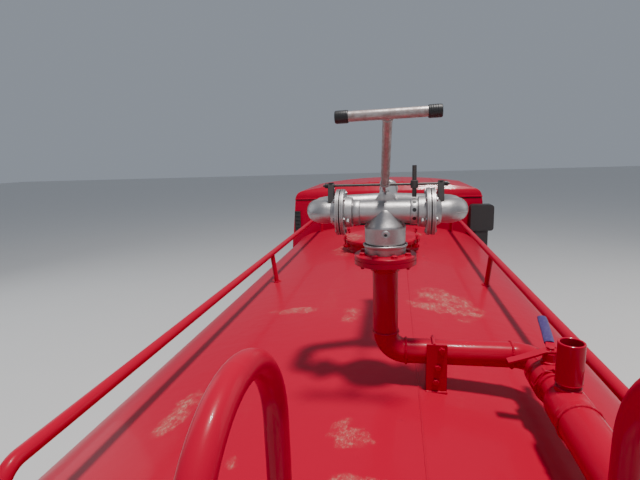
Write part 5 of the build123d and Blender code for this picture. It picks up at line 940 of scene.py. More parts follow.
def manhole_details():
    """Neck welds, gasket, swing bolts with wing nuts, and the lid's rim, bow and breather."""
    lid = MANHOLE + Z * LID
    weld = [hoop(MANHOLE + Z * (tank_height(0.18) + 0.004), Z, 0.2565, 0.006, 140, 8, 0.15),
            hoop(lid - Z * 0.0125, Z, 0.2565, 0.0045, 120, 8, 0.15)]
    piece("manhole_welds", "chassis", RED, weld)
    piece("manhole_gasket", "chassis", CAP, [hoop(lid + Z * 0.0001, Z, 0.27, 0.004, 120, 8)])
    bolts, nuts = [], []
    for _, out in around(6, X, Y, 0.5):
        if out.y > 0.9:        # the hinge is here
            continue
        at, across = lid + out * 0.302, Z.cross(out)
        bolts.append(tube([at - Z * 0.034, at + Z * 0.052], 0.0055, 14))
        bolts.append(tube([at - across * 0.016 - Z * 0.03, at + across * 0.016 - Z * 0.03], 0.006, 14))
        for side in (-1, 1):
            ear = at + across * (side * 0.011 - 0.003)
            bolts.append(plate([ear + out * reach + Z * up for reach, up in (
                (-0.034, -0.04), (0.01, -0.04), (0.01, -0.02), (-0.034, -0.016))], across * 0.006))
        nuts.append(lathe(at + Z * 0.024, Z, [(0.0, 0.013), (0.002, 0.0145), (0.01, 0.011),
                                              (0.016, 0.0095)], 24))
        for side in (-1, 1):
            wing = across * side
            nuts.append(tube([at + Z * 0.034, at + wing * 0.014 + Z * 0.042, at + wing * 0.026 + Z * 0.05],
                             [0.005, 0.0048, 0.006], 12))
    piece("manhole_swing_bolts", "chassis", RED, bolts, bevel=0.0006)
    piece("manhole_wing_nuts", "chassis", RED, nuts)
    pressing = [lathe(lid, Z, [(0.0215, 0.265), (0.0255, 0.26), (0.0262, 0.245), (0.0225, 0.238)], 96)]
    pressing += [hoop(lid + Vector((x, 0.0, 0.0225)), Z, 0.008, 0.003, 24, 6, 0.2) for x in (-0.06, 0.06)]
    pressing.append(lathe(lid + Vector((0.0, -0.15, 0.022)), Z, [
        (0.0, 0.026), (0.012, 0.026), (0.014, 0.034), (0.026, 0.034), (0.03, 0.03), (0.031, 0.01)], 36))
    piece("manhole_lid_pressing", "lid", RED, pressing)


tank_details()
manhole_details()


# Wheels: treaded tyres, nuts, hubs and valves

TREAD_PITCHES = 60
TYRE_SIDE = (
    # Across the tyre from its middle, radius
    (0.078, 0.206), (0.0845, 0.212), (0.086, 0.223), (0.0915, 0.228), (0.099, 0.23), (0.1035, 0.238),
    (0.106, 0.25), (0.112, 0.28), (0.1128, 0.283), (0.1122, 0.286), (0.1146, 0.318), (0.115, 0.324),
    (0.1142, 0.328), (0.1125, 0.362), (0.113, 0.365), (0.1105, 0.369), (0.108, 0.39), (0.104, 0.403),
    (0.098, 0.412), (0.09, 0.419))
SHOULDER_LUG = (
    (0.064, 0.417), (0.064, 0.428), (0.088, 0.425), (0.101, 0.415), (0.1062, 0.4), (0.098, 0.4))
# Middle and half width of each tread rib
TREAD_RIBS = ((-0.042, 0.015), (0.0, 0.016), (0.042, 0.015))
FRONT_TRACK = 0.85
REAR_TRACKS = (0.615, 0.885)
NUT_CIRCLE = 0.104
# How far out the discs under the nuts and the hubs' faces are
FRONT_DISC, FRONT_HUB = 0.902, 0.935
REAR_DISC, REAR_HUB = 0.767, 0.84


def tyre(x, y):
    """Carcass with grooved ribs and lugged shoulders."""
    at = Vector((x, y, AXLE))
    outer = [*TYRE_SIDE, (0.086, 0.42)]
    inner = [(-0.078, 0.206), (-0.07, 0.2), (0.07, 0.2), (0.078, 0.206)]
    outer = [(-along, radius) for along, radius in outer] + outer[::-1]
    forms = [lathe(at, X, profile, 120, ends=False) for profile in (outer, inner)]
    for middle, half in TREAD_RIBS:
        rings, crown = [], 0.4296 - abs(middle) * 0.02
        for step, (_, out) in enumerate(around(TREAD_PITCHES * 2, Y, Z)):
            shift = middle + (0.0035 if step % 2 else -0.0035)
            rings.append([at + X * (shift + along) + out * radius for along, radius in (
                (-half, 0.418), (0.001 - half, crown), (half - 0.001, crown), (half, 0.418))])
        forms.append(skin(rings, loop=True))
    for side in (-1, 1):
        stagger = 0.5 if side > 0 else 0.0
        for pitch in range(TREAD_PITCHES):
            walls = []
            for share in (0.08, 0.8):
                angle = math.tau * (pitch + share + stagger) / TREAD_PITCHES
                out = Y * math.cos(angle) + Z * math.sin(angle)
                walls.append([at + X * (side * along) + out * radius for along, radius in SHOULDER_LUG])
            forms.append(skin(walls))
    return forms


def wheel_nuts(x, y, way, across):
    """Six nuts on their seats, with the studs' ends standing out."""
    forms = []
    for angle, out in around(6, Y, Z, 0.5):
        seat = Vector((x, y, AXLE)) + out * NUT_CIRCLE
        forms += [
            lathe(seat, way, [(0.0, across * 0.72), (0.004, across * 0.66)], 24),
            lathe(seat + way * 0.004, way, [(0.0, across * 0.577), (0.017, across * 0.577),
                                            (0.02, across * 0.48)], 6, start=angle),
            lathe(seat + way * 0.023, way, [(0.0, across * 0.3), (0.008, across * 0.3),
                                            (0.01, across * 0.24)], 14)]
    return forms


def hub(at, way, profile, count, circle, lift, across, height):
    """Turned hub with a ring of bolts."""
    forms = [lathe(at, way, profile, 56)]
    for turn, (_, out) in enumerate(around(count, Y, Z)):
        forms += hex_bolt(at + way * lift + out * circle, way, across, height, True, turn)
    return forms


def wheels():
    """Tyres, nuts and hubs of every wheel, and the valves of the front ones."""
    for side, word in SIDES:
        way = X * side
        body = f"{word}_front_wheel"
        piece(f"front_tread_{word}", body, RUBBER, tyre(side * FRONT_TRACK, FRONT_AXLE), smooth=30,
              stands_for=(f"front_tyre_{word}",))
        piece(f"front_nuts_{word}", body, STEEL, wheel_nuts(side * FRONT_DISC, FRONT_AXLE, way, 0.027),
              bevel=0.0006)
        profile = [(0.0, 0.066), (0.004, 0.066), (0.006, 0.054), (0.022, 0.05), (0.026, 0.044),
                   (0.0275, 0.03)]
        at = Vector((side * FRONT_HUB, FRONT_AXLE, AXLE))
        piece(f"front_hub_{word}", body, BLACK, hub(at, way, profile, 6, 0.074, 0.0, 0.013, 0.007),
              bevel=0.0008)
        valve = [(side * (FRONT_DISC + x), FRONT_AXLE + y, AXLE - z) for x, y, z in (
            (0.001, 0.15, 0.06), (0.018, 0.146, 0.058), (0.03, 0.138, 0.055))]
        piece(f"front_valve_{word}", body, CAP, [tube(valve, [0.0045, 0.004, 0.0036], 12)])
        body = f"{word}_rear_wheels"
        twins = [form for x in REAR_TRACKS for form in tyre(side * x, REAR_AXLE)]
        piece(f"rear_treads_{word}", body, RUBBER, twins, smooth=30, stands_for=(f"rear_tyres_{word}",))
        piece(f"rear_nuts_{word}", body, STEEL, wheel_nuts(side * REAR_DISC, REAR_AXLE, way, 0.03),
              bevel=0.0006)
        profile = [(0.0, 0.078), (0.01, 0.078), (0.012, 0.074), (0.0125, 0.046), (0.02, 0.042),
                   (0.022, 0.034), (0.0225, 0.014)]
        at = Vector((side * REAR_HUB, REAR_AXLE, AXLE))
        piece(f"rear_hub_{word}", body, BLACK, hub(at, way, profile, 8, 0.061, 0.012, 0.015, 0.008),
              bevel=0.0008)


wheels()


# Cab surfaces, followed by its trim

BELT = 1.38
CAB_BACK = 1.48
# Lines of the cab below and above its belt: where each starts, its change, its lowest height, its height
SIDE_LINES = ((1.015, 0.025, 0.619, 0.761), (1.04, -0.072, BELT, 0.745))
FRONT_LINES = ((3.065, 0.015, 0.62, 0.76), (3.08, -0.335, BELT, 0.76))


def on_cab(lines, z):
    """Where a line of the cab is at a height."""
    start, change, low, high = lines[0] if z < BELT else lines[1]
    return start + change * (z - low) / high


def cab_side(z):
    """Half width of the cab at a height."""
    return on_cab(SIDE_LINES, z)


def cab_front(z):
    """Where the cab's front face is at a height."""
    return on_cab(FRONT_LINES, z)


def cab_rear(z):
    """Where the cab's rear wall is at a height."""
    return CAB_BACK + 0.008 * (z - 1.0) / 1.11


def front_loop(corners, bend, out):
    """Closed line on the front face through (x, z) corners."""
    return closed([(x, cab_front(z) + out, z) for x, z in corners], bend)


def side_loop(side, corners, bend, out):
    """Closed line on a side face through (y, z) corners."""
    return closed([(side * (cab_side(z) + out), y, z) for y, z in corners], bend)


def box_corners(low_a, high_a, low_b, high_b):
    """Corners of a rectangle, in order round it."""
    return (low_a, low_b), (high_a, low_b), (high_a, high_b), (low_a, high_b)


SCREEN = ((-0.93, 1.435), (0.93, 1.435), (0.865, 1.985), (-0.865, 1.985))
DOOR_PANE = ((1.885, 1.425), (2.68, 1.425), (2.56, 1.925), (1.885, 1.925))
REAR_PANE = box_corners(-0.32, 0.32, 1.738, 1.975)
ROOF_SEAM = 2.052
ROOF_TOP = 2.206
ROOF_HALF = 0.968
ROOF_RISE = 0.09
ROOF_RIBS = 9
RIB_ENDS = ((1.64, -1), (2.48, 1))
WIPERS = ((-0.62, -0.38, 1.53), (-0.02, 0.22, 1.53), (0.56, 0.74, 1.525))
GRILLE_FACE = 3.0895
LAMP_FACE = 3.107
# Headlamp pair: distance from the middle, radius
HEADLAMPS = ((0.745, 0.062), (0.88, 0.056))
BUMPER_LAMP = (0.8, 3.191, 0.482)
DOOR_HANDLE = 1.33
GRAB_RAIL = (1.24, 1.64)
MIRROR_FACE = 2.924
# Each dial: x, radius, and steps down the dash
DIALS = ((-0.505, 0.048, 0.0), (-0.395, 0.048, 0.0), (-0.45, 0.022, 2.4))
DASH_VENTS = (-0.78, -0.12, 0.3, 0.78)
# Each pedal: x and half width
PEDALS = ((-0.56, 0.03), (-0.43, 0.034), (-0.31, 0.024))
LEVER_FOOT = Vector((-0.11, 2.7, 1.045))
COLUMN_TOP = Vector((-0.42, 2.56, 1.452))
COLUMN_TILT = Vector((0.0, -0.6, 0.8))


def cab_seals():
    """Rubber round the screen, the rear window and both door windows."""
    rear = closed([(x, cab_rear(z) - 0.003, z) for x, z in REAR_PANE], 0.05, 8)
    piece("screen_seal", "cab", CAP, [
        tube(front_loop(SCREEN, 0.06, 0.002), 0.0125, 10, loop=True),
        tube(front_loop(SCREEN, 0.06, 0.006), 0.006, 8, loop=True),
        tube(rear, 0.0095, 10, loop=True)])
    for side, word in SIDES:
        line = side_loop(side, DOOR_PANE, 0.04, 0.001)
        rest = [Vector((side * (cab_side(1.432) + 0.005), y, 1.432)) for y in (1.9, 2.66)]
        piece(f"door_window_seal_{word}", f"{word}_door", CAP,
              [tube(line, 0.0095, 10, loop=True), tube(rest, 0.0075, 10, flat=1.6)])


def wiper(pivot_x, tip_x, tip_z):
    """Spindle, sprung arm and blade of one wiper."""
    up, out = Vector((0.0, -0.335, 0.76)).normalized(), Vector((0.0, 0.76, 0.335)).normalized()
    foot = Vector((pivot_x, cab_front(1.412) + 0.004, 1.412))
    tip = Vector((tip_x, cab_front(tip_z), tip_z)) + out * 0.026
    way = (tip - foot).normalized()
    blade_way = (X * (tip_x - pivot_x) * 0.95 + up * 0.055).normalized()
    reach = blade_way * 0.23
    forms = [lathe(foot, out, [(0.0, 0.019), (0.012, 0.019), (0.02, 0.015), (0.023, 0.008)], 24),
             tube([foot + out * 0.018, foot + out * 0.026 + way * 0.1, tip], [0.0085, 0.0068, 0.0045], 10,
                  flat=0.6),
             tube([tip - reach, tip + out * 0.004, tip + reach], [0.003, 0.0052, 0.003], 8),
             tube([tip - reach - out * 0.008, tip + reach - out * 0.008], 0.0034, 6, flat=1.8)]
    for share in (-0.7, -0.25, 0.25, 0.7):
        at = tip + reach * share
        forms.append(tube([at + out * 0.003, at - out * 0.01], 0.0028, 6))
    return forms


def roof_trim():
    """Drip rim over the roof seam, a black line painted as the shade in the gap under it, and the runouts
    of the pressed ribs.
    """
    half, front, back = cab_side(ROOF_SEAM), cab_front(ROOF_SEAM), cab_rear(ROOF_SEAM)
    # The second line is black: painted shade in the gap under the drip rim
    for name, finish, drop, out, radius in (("roof_drip_rim", RED, 0.0, 0.004, 0.0065),
                                            ("roof_seam_gap_shade", CAP, 0.0105, 0.0008, 0.0032)):
        plan = box_corners(-half - out, half + out, back - out, front + out)
        line = closed([(x, y, ROOF_SEAM - drop) for x, y in plan], 0.02)
        piece(name, "cab", finish, [tube(line, radius, 10, loop=True)])
    crown = (ROOF_HALF ** 2 + ROOF_RISE ** 2) / (2 * ROOF_RISE)
    ends = []
    for index in range(ROOF_RIBS):
        x = 0.7 * (2 * index / (ROOF_RIBS - 1) - 1)
        z = ROOF_TOP - crown + math.sqrt(crown ** 2 - x * x)
        for y, way in RIB_ENDS:
            ends.append(lathe((x, y, z), Y * way, [(-0.002, 0.016), (0.01, 0.0155), (0.024, 0.013),
                                                   (0.036, 0.0092), (0.044, 0.004)], 24))
    piece("roof_rib_runouts", "cab", RED, ends)


def cab_front_trim():
    """Black lines painted as the shade in the panel gaps, grille surround and mesh, lamp bezels and rings,
    turn lamps, wipers and bumper lamps.
    """
    # Black lines painted as the shade in the gaps round the front panel and along the belt under the screen
    panel = front_loop(box_corners(-0.8, 0.8, 0.925, 1.345), 0.05, -0.0008)
    sill = [(x, cab_front(1.39) + 0.0035, 1.39) for x in (-0.93, 0.0, 0.93)]
    piece("front_panel_gap_shade", "cab", CAP, [tube(panel, 0.003, 8, loop=True),
                                           tube(sill, 0.0075, 10, flat=1.5)])
    rim = closed([(x, GRILLE_FACE + 0.014, z) for x, z in box_corners(-0.622, 0.622, 0.958, 1.182)], 0.014)
    piece("grille_surround", "cab", RIM, [tube(rim, 0.005, 10, loop=True)])
    mesh = []
    for index in range(5):
        z = 0.96 + 0.044 * (index + 0.5)
        for step in range(47):
            x = -0.575 + 0.025 * step
            mesh.append(tube([(x, GRILLE_FACE, z - 0.0125), (x, GRILLE_FACE, z + 0.0125)], 0.0018, 5))
    piece("grille_mesh", "cab", PLASTIC, mesh)
    bezels, rings, turns, lamps, surrounds = [], [], [], [], []
    for side in (-1, 1):
        outline = closed([(side * x, 3.0935, z) for x, z in box_corners(0.655, 0.965, 0.695, 0.865)], 0.05)
        bezels.append(tube(outline, 0.01, 10, loop=True))
        for x, radius in HEADLAMPS:
            middle = (side * x, LAMP_FACE, 0.78)
            rings.append(lathe(middle, Y, [(0.0, radius), (0.003, radius), (0.0034, radius - 0.004),
                                           (0.0012, radius - 0.006)], 40))
            rings.append(lathe(middle, Y, [(0.0, 0.015), (0.003, 0.014), (0.0042, 0.008)], 24))
        outline = [(side * x, cab_front(0.905) + 0.001, z) for x, z in box_corners(0.7, 0.96, 0.885, 0.925)]
        turns.append(plate(closed(outline, 0.012), Y * 0.014))
        turns.append(lathe((side * (cab_side(1.25) + 0.001), 2.9, 1.25), X * side,
                           [(0.0, 0.027), (0.008, 0.026), (0.013, 0.019), (0.015, 0.008)], 28))
        x, y, z = BUMPER_LAMP
        at, out = Vector((side * x, y, z)), Vector((side * 0.075, 1.0, 0.0)).normalized()
        lamps.append(lathe(at, out, [(-0.004, 0.046), (0.0032, 0.045), (0.0046, 0.03)], 40))
        surrounds.append(hoop(at + out * 0.0008, out, 0.05, 0.004, 44, 8))
    wipers = [form for place in WIPERS for form in wiper(*place)]
    piece("headlamp_bezels", "cab", PLASTIC, bezels)
    piece("headlamp_rings", "cab", RIM, rings)
    piece("turn_lamps", "cab", AMBER, turns, bevel=0.0015)
    piece("wipers", "cab", PLASTIC, wipers)
    piece("bumper_lamps", "chassis", CLEAR, lamps)
    piece("bumper_bezels", "chassis", PLASTIC, surrounds)


def rosette(face, y, z, side, profile):
    """Small turned foot on a cab side."""
    return lathe((face - side * 0.001, y, z), X * side, profile, 24)


def door_fittings(side, word):
    """Handle on its two feet, the lock below it, and the door's two mouldings."""
    z, face = DOOR_HANDLE, side * cab_side(DOOR_HANDLE)
    bow = [(face + side * out, y, z) for out, y in ((0.0, 1.868), (0.03, 1.876), (0.032, 2.004),
                                                    (0.0, 2.012))]
    forms = [tube(rounded(bow, 0.01, 5), 0.0085, 14, flat=1.4)]
    forms += [rosette(face, y, z, side, [(0.0, 0.02), (0.004, 0.019), (0.006, 0.014)])
              for y in (1.868, 2.012)]
    forms.append(rosette(face, 1.868, z - 0.06, side, [(0.0, 0.013), (0.005, 0.012), (0.006, 0.008)]))
    piece(f"door_handle_{word}", f"{word}_door", PLASTIC, forms)
    ribs = [tube([(side * (cab_side(z) + 0.0005), y, z) for y in (1.845, 2.3, 2.725)], 0.005, 10, flat=1.5)
            for z in (1.1, 1.262)]
    piece(f"door_mouldings_{word}", f"{word}_door", RED, ribs)


def grab_rail(side, word):
    """Rail behind the door on two feet."""
    low, high = GRAB_RAIL
    path = [(side * (cab_side(z) + out), 1.7, z + up) for z, out, up in (
        (low, 0.0, 0.0), (low, 0.046, 0.012), (high, 0.046, -0.012), (high, 0.0, 0.0))]
    forms = [tube(rounded(path, 0.02, 6), 0.011, 16)]
    forms += [rosette(side * cab_side(z), 1.7, z, side, [(0.0, 0.024), (0.004, 0.023), (0.006, 0.016)])
              for z in GRAB_RAIL]
    piece(f"grab_rail_{word}", "cab", PLASTIC, forms)


def sill_and_step(side, word):
    """Rubber along the cab's lower edge, and the step's grip plate."""
    sill = [(side * 1.0215, 1.5, 1.001), (side * 1.0215, 2.648, 1.001), (side * 1.01, 2.688, 0.624)]
    front = [(side * 1.014, 2.69, 0.6215), (side * 1.014, 3.058, 0.6215)]
    piece(f"sill_rubber_{word}", "cab", CAP, [tube(rounded(sill, 0.04, 6), 0.01, 10),
                                              tube(front, 0.008, 10)])
    tread = [block((side * 0.934, 2.75, 0.7052), (side * 1.01, 2.98, 0.7095))]
    for step in range(14):
        y = 2.757 + 0.0166 * step
        tread.append(block((side * 0.94, y, 0.7095), (side * 1.008, y + 0.006, 0.7145)))
    piece(f"step_tread_{word}", "cab", STEEL, tread, bevel=0.0006)


def mirror_trim(side, word):
    """Mirror's glass, its rim, and the clasps on the arm."""
    pane = closed([(side * x, MIRROR_FACE, z) for x, z in box_corners(1.078, 1.232, 1.58, 1.86)], 0.022)
    rim = closed([(side * x, MIRROR_FACE + 0.0005, z) for x, z in box_corners(1.07, 1.24, 1.571, 1.869)],
                 0.03)
    piece(f"mirror_pane_{word}", "cab", MIRROR, [plate(pane, -Y * 0.002)])
    clasps = [lathe((side * 1.075, 2.96, z), X * -side, [(0.0, 0.02), (0.014, 0.018), (0.018, 0.012)], 20)
              for z in (1.62, 1.82)]
    piece(f"mirror_rim_{word}", "cab", PLASTIC, [tube(rim, 0.005, 8, loop=True), *clasps])


def vent_slats(side, word):
    """Slanted slats of the air vent behind the door."""
    left, right = sorted((side * 0.934, side * 0.976))
    slats = []
    for index in range(5):
        z = 1.731 + 0.042 * index
        slats.append(plate([(left, y, z + up) for y, up in (
            (1.4655, -0.007), (1.4655, -0.004), (1.4715, 0.007), (1.4715, 0.004))], X * (right - left)))
    piece(f"vent_slats_{word}", "cab", CAP, slats)


def cab_side_trim():
    """Everything on the cab's two sides."""
    for side, word in SIDES:
        for trim in (door_fittings, grab_rail, sill_and_step, mirror_trim, vent_slats):
            trim(side, word)


def cab_inside():
    """Dials, dash vents, pedals, gear lever and horn pad."""
    face = Vector((0.0, -0.8, 0.6))
    rims, dials = [], []
    for x, radius, down in DIALS:
        at = Vector((x, 2.728 - 0.012 * down, 1.411 - 0.016 * down))
        rims.append(hoop(at, face, radius, 0.0042, 40, 8))
        dials.append(lathe(at - face * 0.003, face, [(0.0, radius), (0.0035, radius - 0.001)], 40))
        needle = Vector((0.24, 0.32, 0.64)) * radius
        dials.append(tube([at + face * 0.002, at + face * 0.002 + needle], 0.001, 6))
    piece("dash_dial_rims", "cab", RIM, rims)
    piece("dash_dials", "cab", CAP, dials)
    vents = []
    for x in DASH_VENTS:
        for index in range(4):
            vents.append(plate([(x - 0.06, 2.699 + back, 1.262 + 0.018 * index + up) for back, up in (
                (0.0, 0.0), (-0.006, 0.002), (0.0, 0.006))], X * 0.12))
    piece("dash_vents", "cab", CAP, vents)
    pedals = []
    for x, wide in PEDALS:
        pedals.append(tube([(x, 2.8, 1.232), (x, 2.74, 1.15), (x, 2.7, 1.112)], 0.008, 12))
        pedals.append(plate([(x - wide, 2.704, 1.078), (x + wide, 2.704, 1.078), (x + wide, 2.684, 1.138),
                             (x - wide, 2.684, 1.138)], (0.0, 0.008, 0.003)))
    piece("pedals", "cab", PLASTIC, pedals, bevel=0.0012)
    foot = LEVER_FOOT
    lever = rounded([foot, foot + Z * 0.11, foot + Vector((-0.02, -0.2, 0.33))], 0.06, 6)
    piece("gear_lever", "cab", PLASTIC, [
        lathe(foot, Z, [(0.0, 0.062), (0.01, 0.06), (0.02, 0.046), (0.03, 0.048), (0.042, 0.034),
                        (0.054, 0.036), (0.068, 0.022), (0.082, 0.014)], 32),
        tube(lever, 0.008, 14),
        lathe(lever[-1], lever[-1] - lever[-2], [(-0.014, 0.011), (0.0, 0.021), (0.016, 0.024),
                                                 (0.03, 0.02), (0.036, 0.008)], 28)])
    top, tilt = COLUMN_TOP, COLUMN_TILT
    piece("horn_pad", "hand_wheel", CAP, [
        lathe(top + tilt * 0.051, tilt, [(0.0, 0.043), (0.006, 0.042), (0.012, 0.034), (0.015, 0.018)], 36),
        hoop(top + tilt * 0.0515, tilt, 0.044, 0.0022, 40, 6)])


cab_seals()
roof_trim()
cab_front_trim()
cab_side_trim()
cab_inside()


# Seats: stitched cushions and backs on their boxes

FLOOR = 1.045
# Each seat: its middle, half width and the sewn channels across it
SEATS = ((-0.46, 0.26, (-0.105, 0.105)), (0.33, 0.48, (-0.3, -0.1, 0.1, 0.3)))
CUSHION = ((1.738, 1.152), (2.232, 1.152), (2.24, 1.262), (1.995, 1.29), (1.738, 1.272))
SEAT_BACK = ((1.742, 1.272), (1.846, 1.272), (1.8, 1.545), (1.694, 1.798), (1.614, 1.798), (1.668, 1.545))


def padded(corners, bend, middle, half, channels):
    """Pad swept across the seat: full in the middle, rounded at its ends, drawn in along its channels."""
    loop = closed([(0.0, y, z) for y, z in corners], bend, 8)
    centre = sum(loop, Vector()) / len(loop)
    deep = max((point - centre).length for point in loop)
    round_end, stations = 0.034, []
    for step in range(11):
        turn = math.pi / 2 * step / 10
        stations.append(-half + round_end * (1.0 - math.cos(turn)))
    stations += [-half + round_end + (2 * half - 2 * round_end) * step / 72 for step in range(1, 72)]
    stations += [-x for x in stations[10::-1]]
    rings = []
    for x in stations:
        end = max(0.0, round_end - (half - abs(x)))
        drawn = round_end - math.sqrt(max(0.0, round_end ** 2 - end ** 2))
        for channel in channels:
            drawn += 0.0055 * math.exp(-((x - channel) / 0.0055) ** 2)
        drawn += 0.004 * (x / half) ** 2
        share = 1.0 - drawn / deep
        rings.append([Vector((middle + x, *(centre + (point - centre) * share)[1:])) for point in loop])
    return skin(rings), loop, centre, deep


def seats():
    """Driver's seat and double seat: pads with piping, on boxes with floor rails."""
    pads, piping, boxes = [], [], []
    for middle, half, channels in SEATS:
        boxes.append(block((middle - half + 0.03, 1.76, FLOOR), (middle + half - 0.03, 2.18, 1.156)))
        for side in (-1, 1):
            rail = middle + side * (half - 0.075)
            boxes.append(block((rail - 0.018, 1.765, FLOOR), (rail + 0.018, 2.2, FLOOR + 0.022)))
        for corners, bend in ((CUSHION, 0.034), (SEAT_BACK, 0.03)):
            pad, loop, centre, deep = padded(corners, bend, middle, half, channels)
            pads.append(pad)
            share = 1.0 - 0.0165 / deep
            for side in (-1, 1):
                x = middle + side * (half - 0.0085)
                line = [(x, *(centre + (point - centre) * share)[1:]) for point in loop]
                piping.append(tube(line, 0.004, 8, loop=True))
    piece("seat_pads", "cab", CLOTH, pads, stands_for=("seats",))
    piece("seat_piping", "cab", CAP, piping)
    piece("seat_boxes", "cab", DASH, boxes, bevel=0.004)


seats()


# Chassis: spring clamps, dampers, brake chambers, air lines, bolts and the hung boxes' fittings

RAIL_OUT = 0.375
SPRING = 0.34
# Each spring: its axle, the pack's underside and seat, and half the distance of the U-bolts
SPRING_PACKS = ((FRONT_AXLE, 0.388, 0.442, 0.044), (REAR_AXLE, 0.352, 0.5, 0.066))
# Spring eyes: middle, half length and height
SPRING_EYES = ((FRONT_AXLE, 0.542, 0.575), (REAR_AXLE, 0.602, 0.578))
# Foot and head of the front and the rear damper
DAMPERS = (((0.398, 2.03, 0.432), (0.398, 1.86, 0.69)), ((0.425, -1.5, 0.44), (0.405, -1.33, 0.7)))
CROSS_MEMBERS = (1.05, 0.1, -0.9, -2.05, -3.06)
SADDLE_BOLTS = (-0.65, -0.2, -0.3, 0.05, 0.25, 1.3)
RESERVOIR = Vector((-0.64, 0.0, 0.64))
DRAIN = -0.675
GUARD_FACE = 0.995


def spring_clamps():
    """U-bolts over each spring pack with their plates and nuts, and the pins at the spring ends."""
    bows, plates, nuts = [], [], []
    for axle, low, seat, reach in SPRING_PACKS:
        top, bow_half = seat + 0.055, 0.0385
        for side in (-1, 1):
            x = side * SPRING
            plates.append(block((x - 0.044, axle - reach - 0.016, top),
                                (x + 0.044, axle + reach + 0.016, top + 0.012)))
            if axle == REAR_AXLE:
                plates.append(block((x - 0.052, axle - reach - 0.018, low + 0.014),
                                    (x + 0.052, axle + reach + 0.018, low + 0.026)))
            for end in (-1, 1):
                y = axle + end * reach
                bow = [(x - bow_half, y, low), (x - bow_half, y, top + 0.0185),
                       (x + bow_half, y, top + 0.0185), (x + bow_half, y, low)]
                bows.append(tube(rounded(bow, 0.02, 6), 0.0065, 12))
                for across in (-bow_half, bow_half):
                    nuts += hex_bolt((x + across, y, low + 0.013), -Z, 0.019, 0.01, True, across * 9.0)
    for middle, half, z in SPRING_EYES:
        for side in (-1, 1):
            for end in (-1, 1):
                for face in (-1, 1):
                    at = (side * SPRING + face * 0.032, middle + end * half, z)
                    nuts += hex_bolt(at, X * face, 0.03, 0.012, True, 0.4 * end)
    piece("spring_clamps", "chassis", BLACK, bows)
    piece("spring_plates", "chassis", BLACK, plates, bevel=0.002)
    piece("spring_nuts", "chassis", STEEL, nuts, bevel=0.0008)


def dampers():
    """Telescopic dampers beside the springs, front and rear."""
    bodies, rods = [], []
    for side in (-1, 1):
        for foot, head in DAMPERS:
            low, high = (Vector((side * x, y, z)) for x, y, z in (foot, head))
            way = (high - low).normalized()
            bodies.append(lathe(low + way * 0.035, way,
                                [(0.0, 0.016), (0.004, 0.0215), (0.12, 0.0215), (0.124, 0.012)], 24))
            bodies.append(lathe(high - way * 0.15, way,
                                [(0.0, 0.024), (0.002, 0.0262), (0.112, 0.0262), (0.118, 0.014)], 24))
            rods.append(tube([low, low + way * 0.036], 0.0085, 12))
            rods.append(tube([high - way * 0.033, high], 0.0085, 12))
            for at in (low, high):
                rods.append(lathe(at - X * 0.018, X, [(0.0, 0.021), (0.036, 0.021)], 24))
                rods.append(tube([at, (side * (RAIL_OUT - 0.03), at.y, at.z)], 0.0095, 12))
    piece("damper_bodies", "chassis", BLACK, bodies)
    piece("damper_eyes", "chassis", STEEL, rods)


def brake_chambers():
    """Air brake chambers on the rear axle with their brackets and clamp bands."""
    pots, bands = [], []
    for side in (-1, 1):
        at = Vector((side * 0.11, REAR_AXLE - 0.2, AXLE + 0.085))
        band = at + X * (side * 0.06)
        pots.append(lathe(at, X * side, [(0.0, 0.03), (0.006, 0.058), (0.016, 0.068), (0.058, 0.07),
                                         (0.062, 0.07), (0.104, 0.068), (0.116, 0.056), (0.122, 0.026),
                                         (0.15, 0.022)], 40))
        pots.append(plate([at + Vector((side * 0.085, y, z)) for y, z in (
            (0.04, -0.06), (0.205, -0.115), (0.205, -0.045), (0.06, 0.02))], X * (side * 0.01)))
        bands.append(hoop(band, X, 0.0715, 0.0045, 44, 8))
        bands.append(lathe(band - Y * 0.078, X, both_ways([(0.0, 0.0055), (0.014, 0.0055)]), 12))
    piece("brake_chambers", "chassis", BLACK, pots)
    piece("brake_chamber_bands", "chassis", STEEL, bands)


def air_lines():
    """Two air lines along the rails, held by clips."""
    lines, clips = [], []
    for side in (-1, 1):
        run = [(side * 0.3, -2.9, 0.648), (side * 0.3, 0.0, 0.648), (side * 0.3, 2.8, 0.648)]
        lines.append(tube(run, 0.0048, 10))
        for index in range(9):
            y = -2.75 + 0.66 * index
            clips.append(block((side * 0.294, y, 0.642), (side * 0.312, y + 0.016, 0.654)))
            clips.append(block((side * 0.31, y, 0.606), (side * 0.314, y + 0.016, 0.654)))
    piece("air_lines", "chassis", CAP, lines)
    piece("air_line_clips", "chassis", STEEL, clips)


def frame_bolts():
    """Bolts through the rails at the cross members and under the saddles."""
    bolts = []
    for side in (-1, 1):
        for y in CROSS_MEMBERS:
            for across in (-0.022, 0.022):
                for z in (0.68, 0.75):
                    bolts += hex_bolt((side * RAIL_OUT, y + across, z), X * side, 0.016, 0.008, True,
                                      across * 20)
        for y in SADDLE_BOLTS:
            for z in (0.64, 0.725):
                bolts += hex_bolt((side * RAIL_OUT, y + 0.052, z), X * side, 0.016, 0.008, True, z)
    piece("frame_bolts", "chassis", STEEL, bolts, bevel=0.0006)


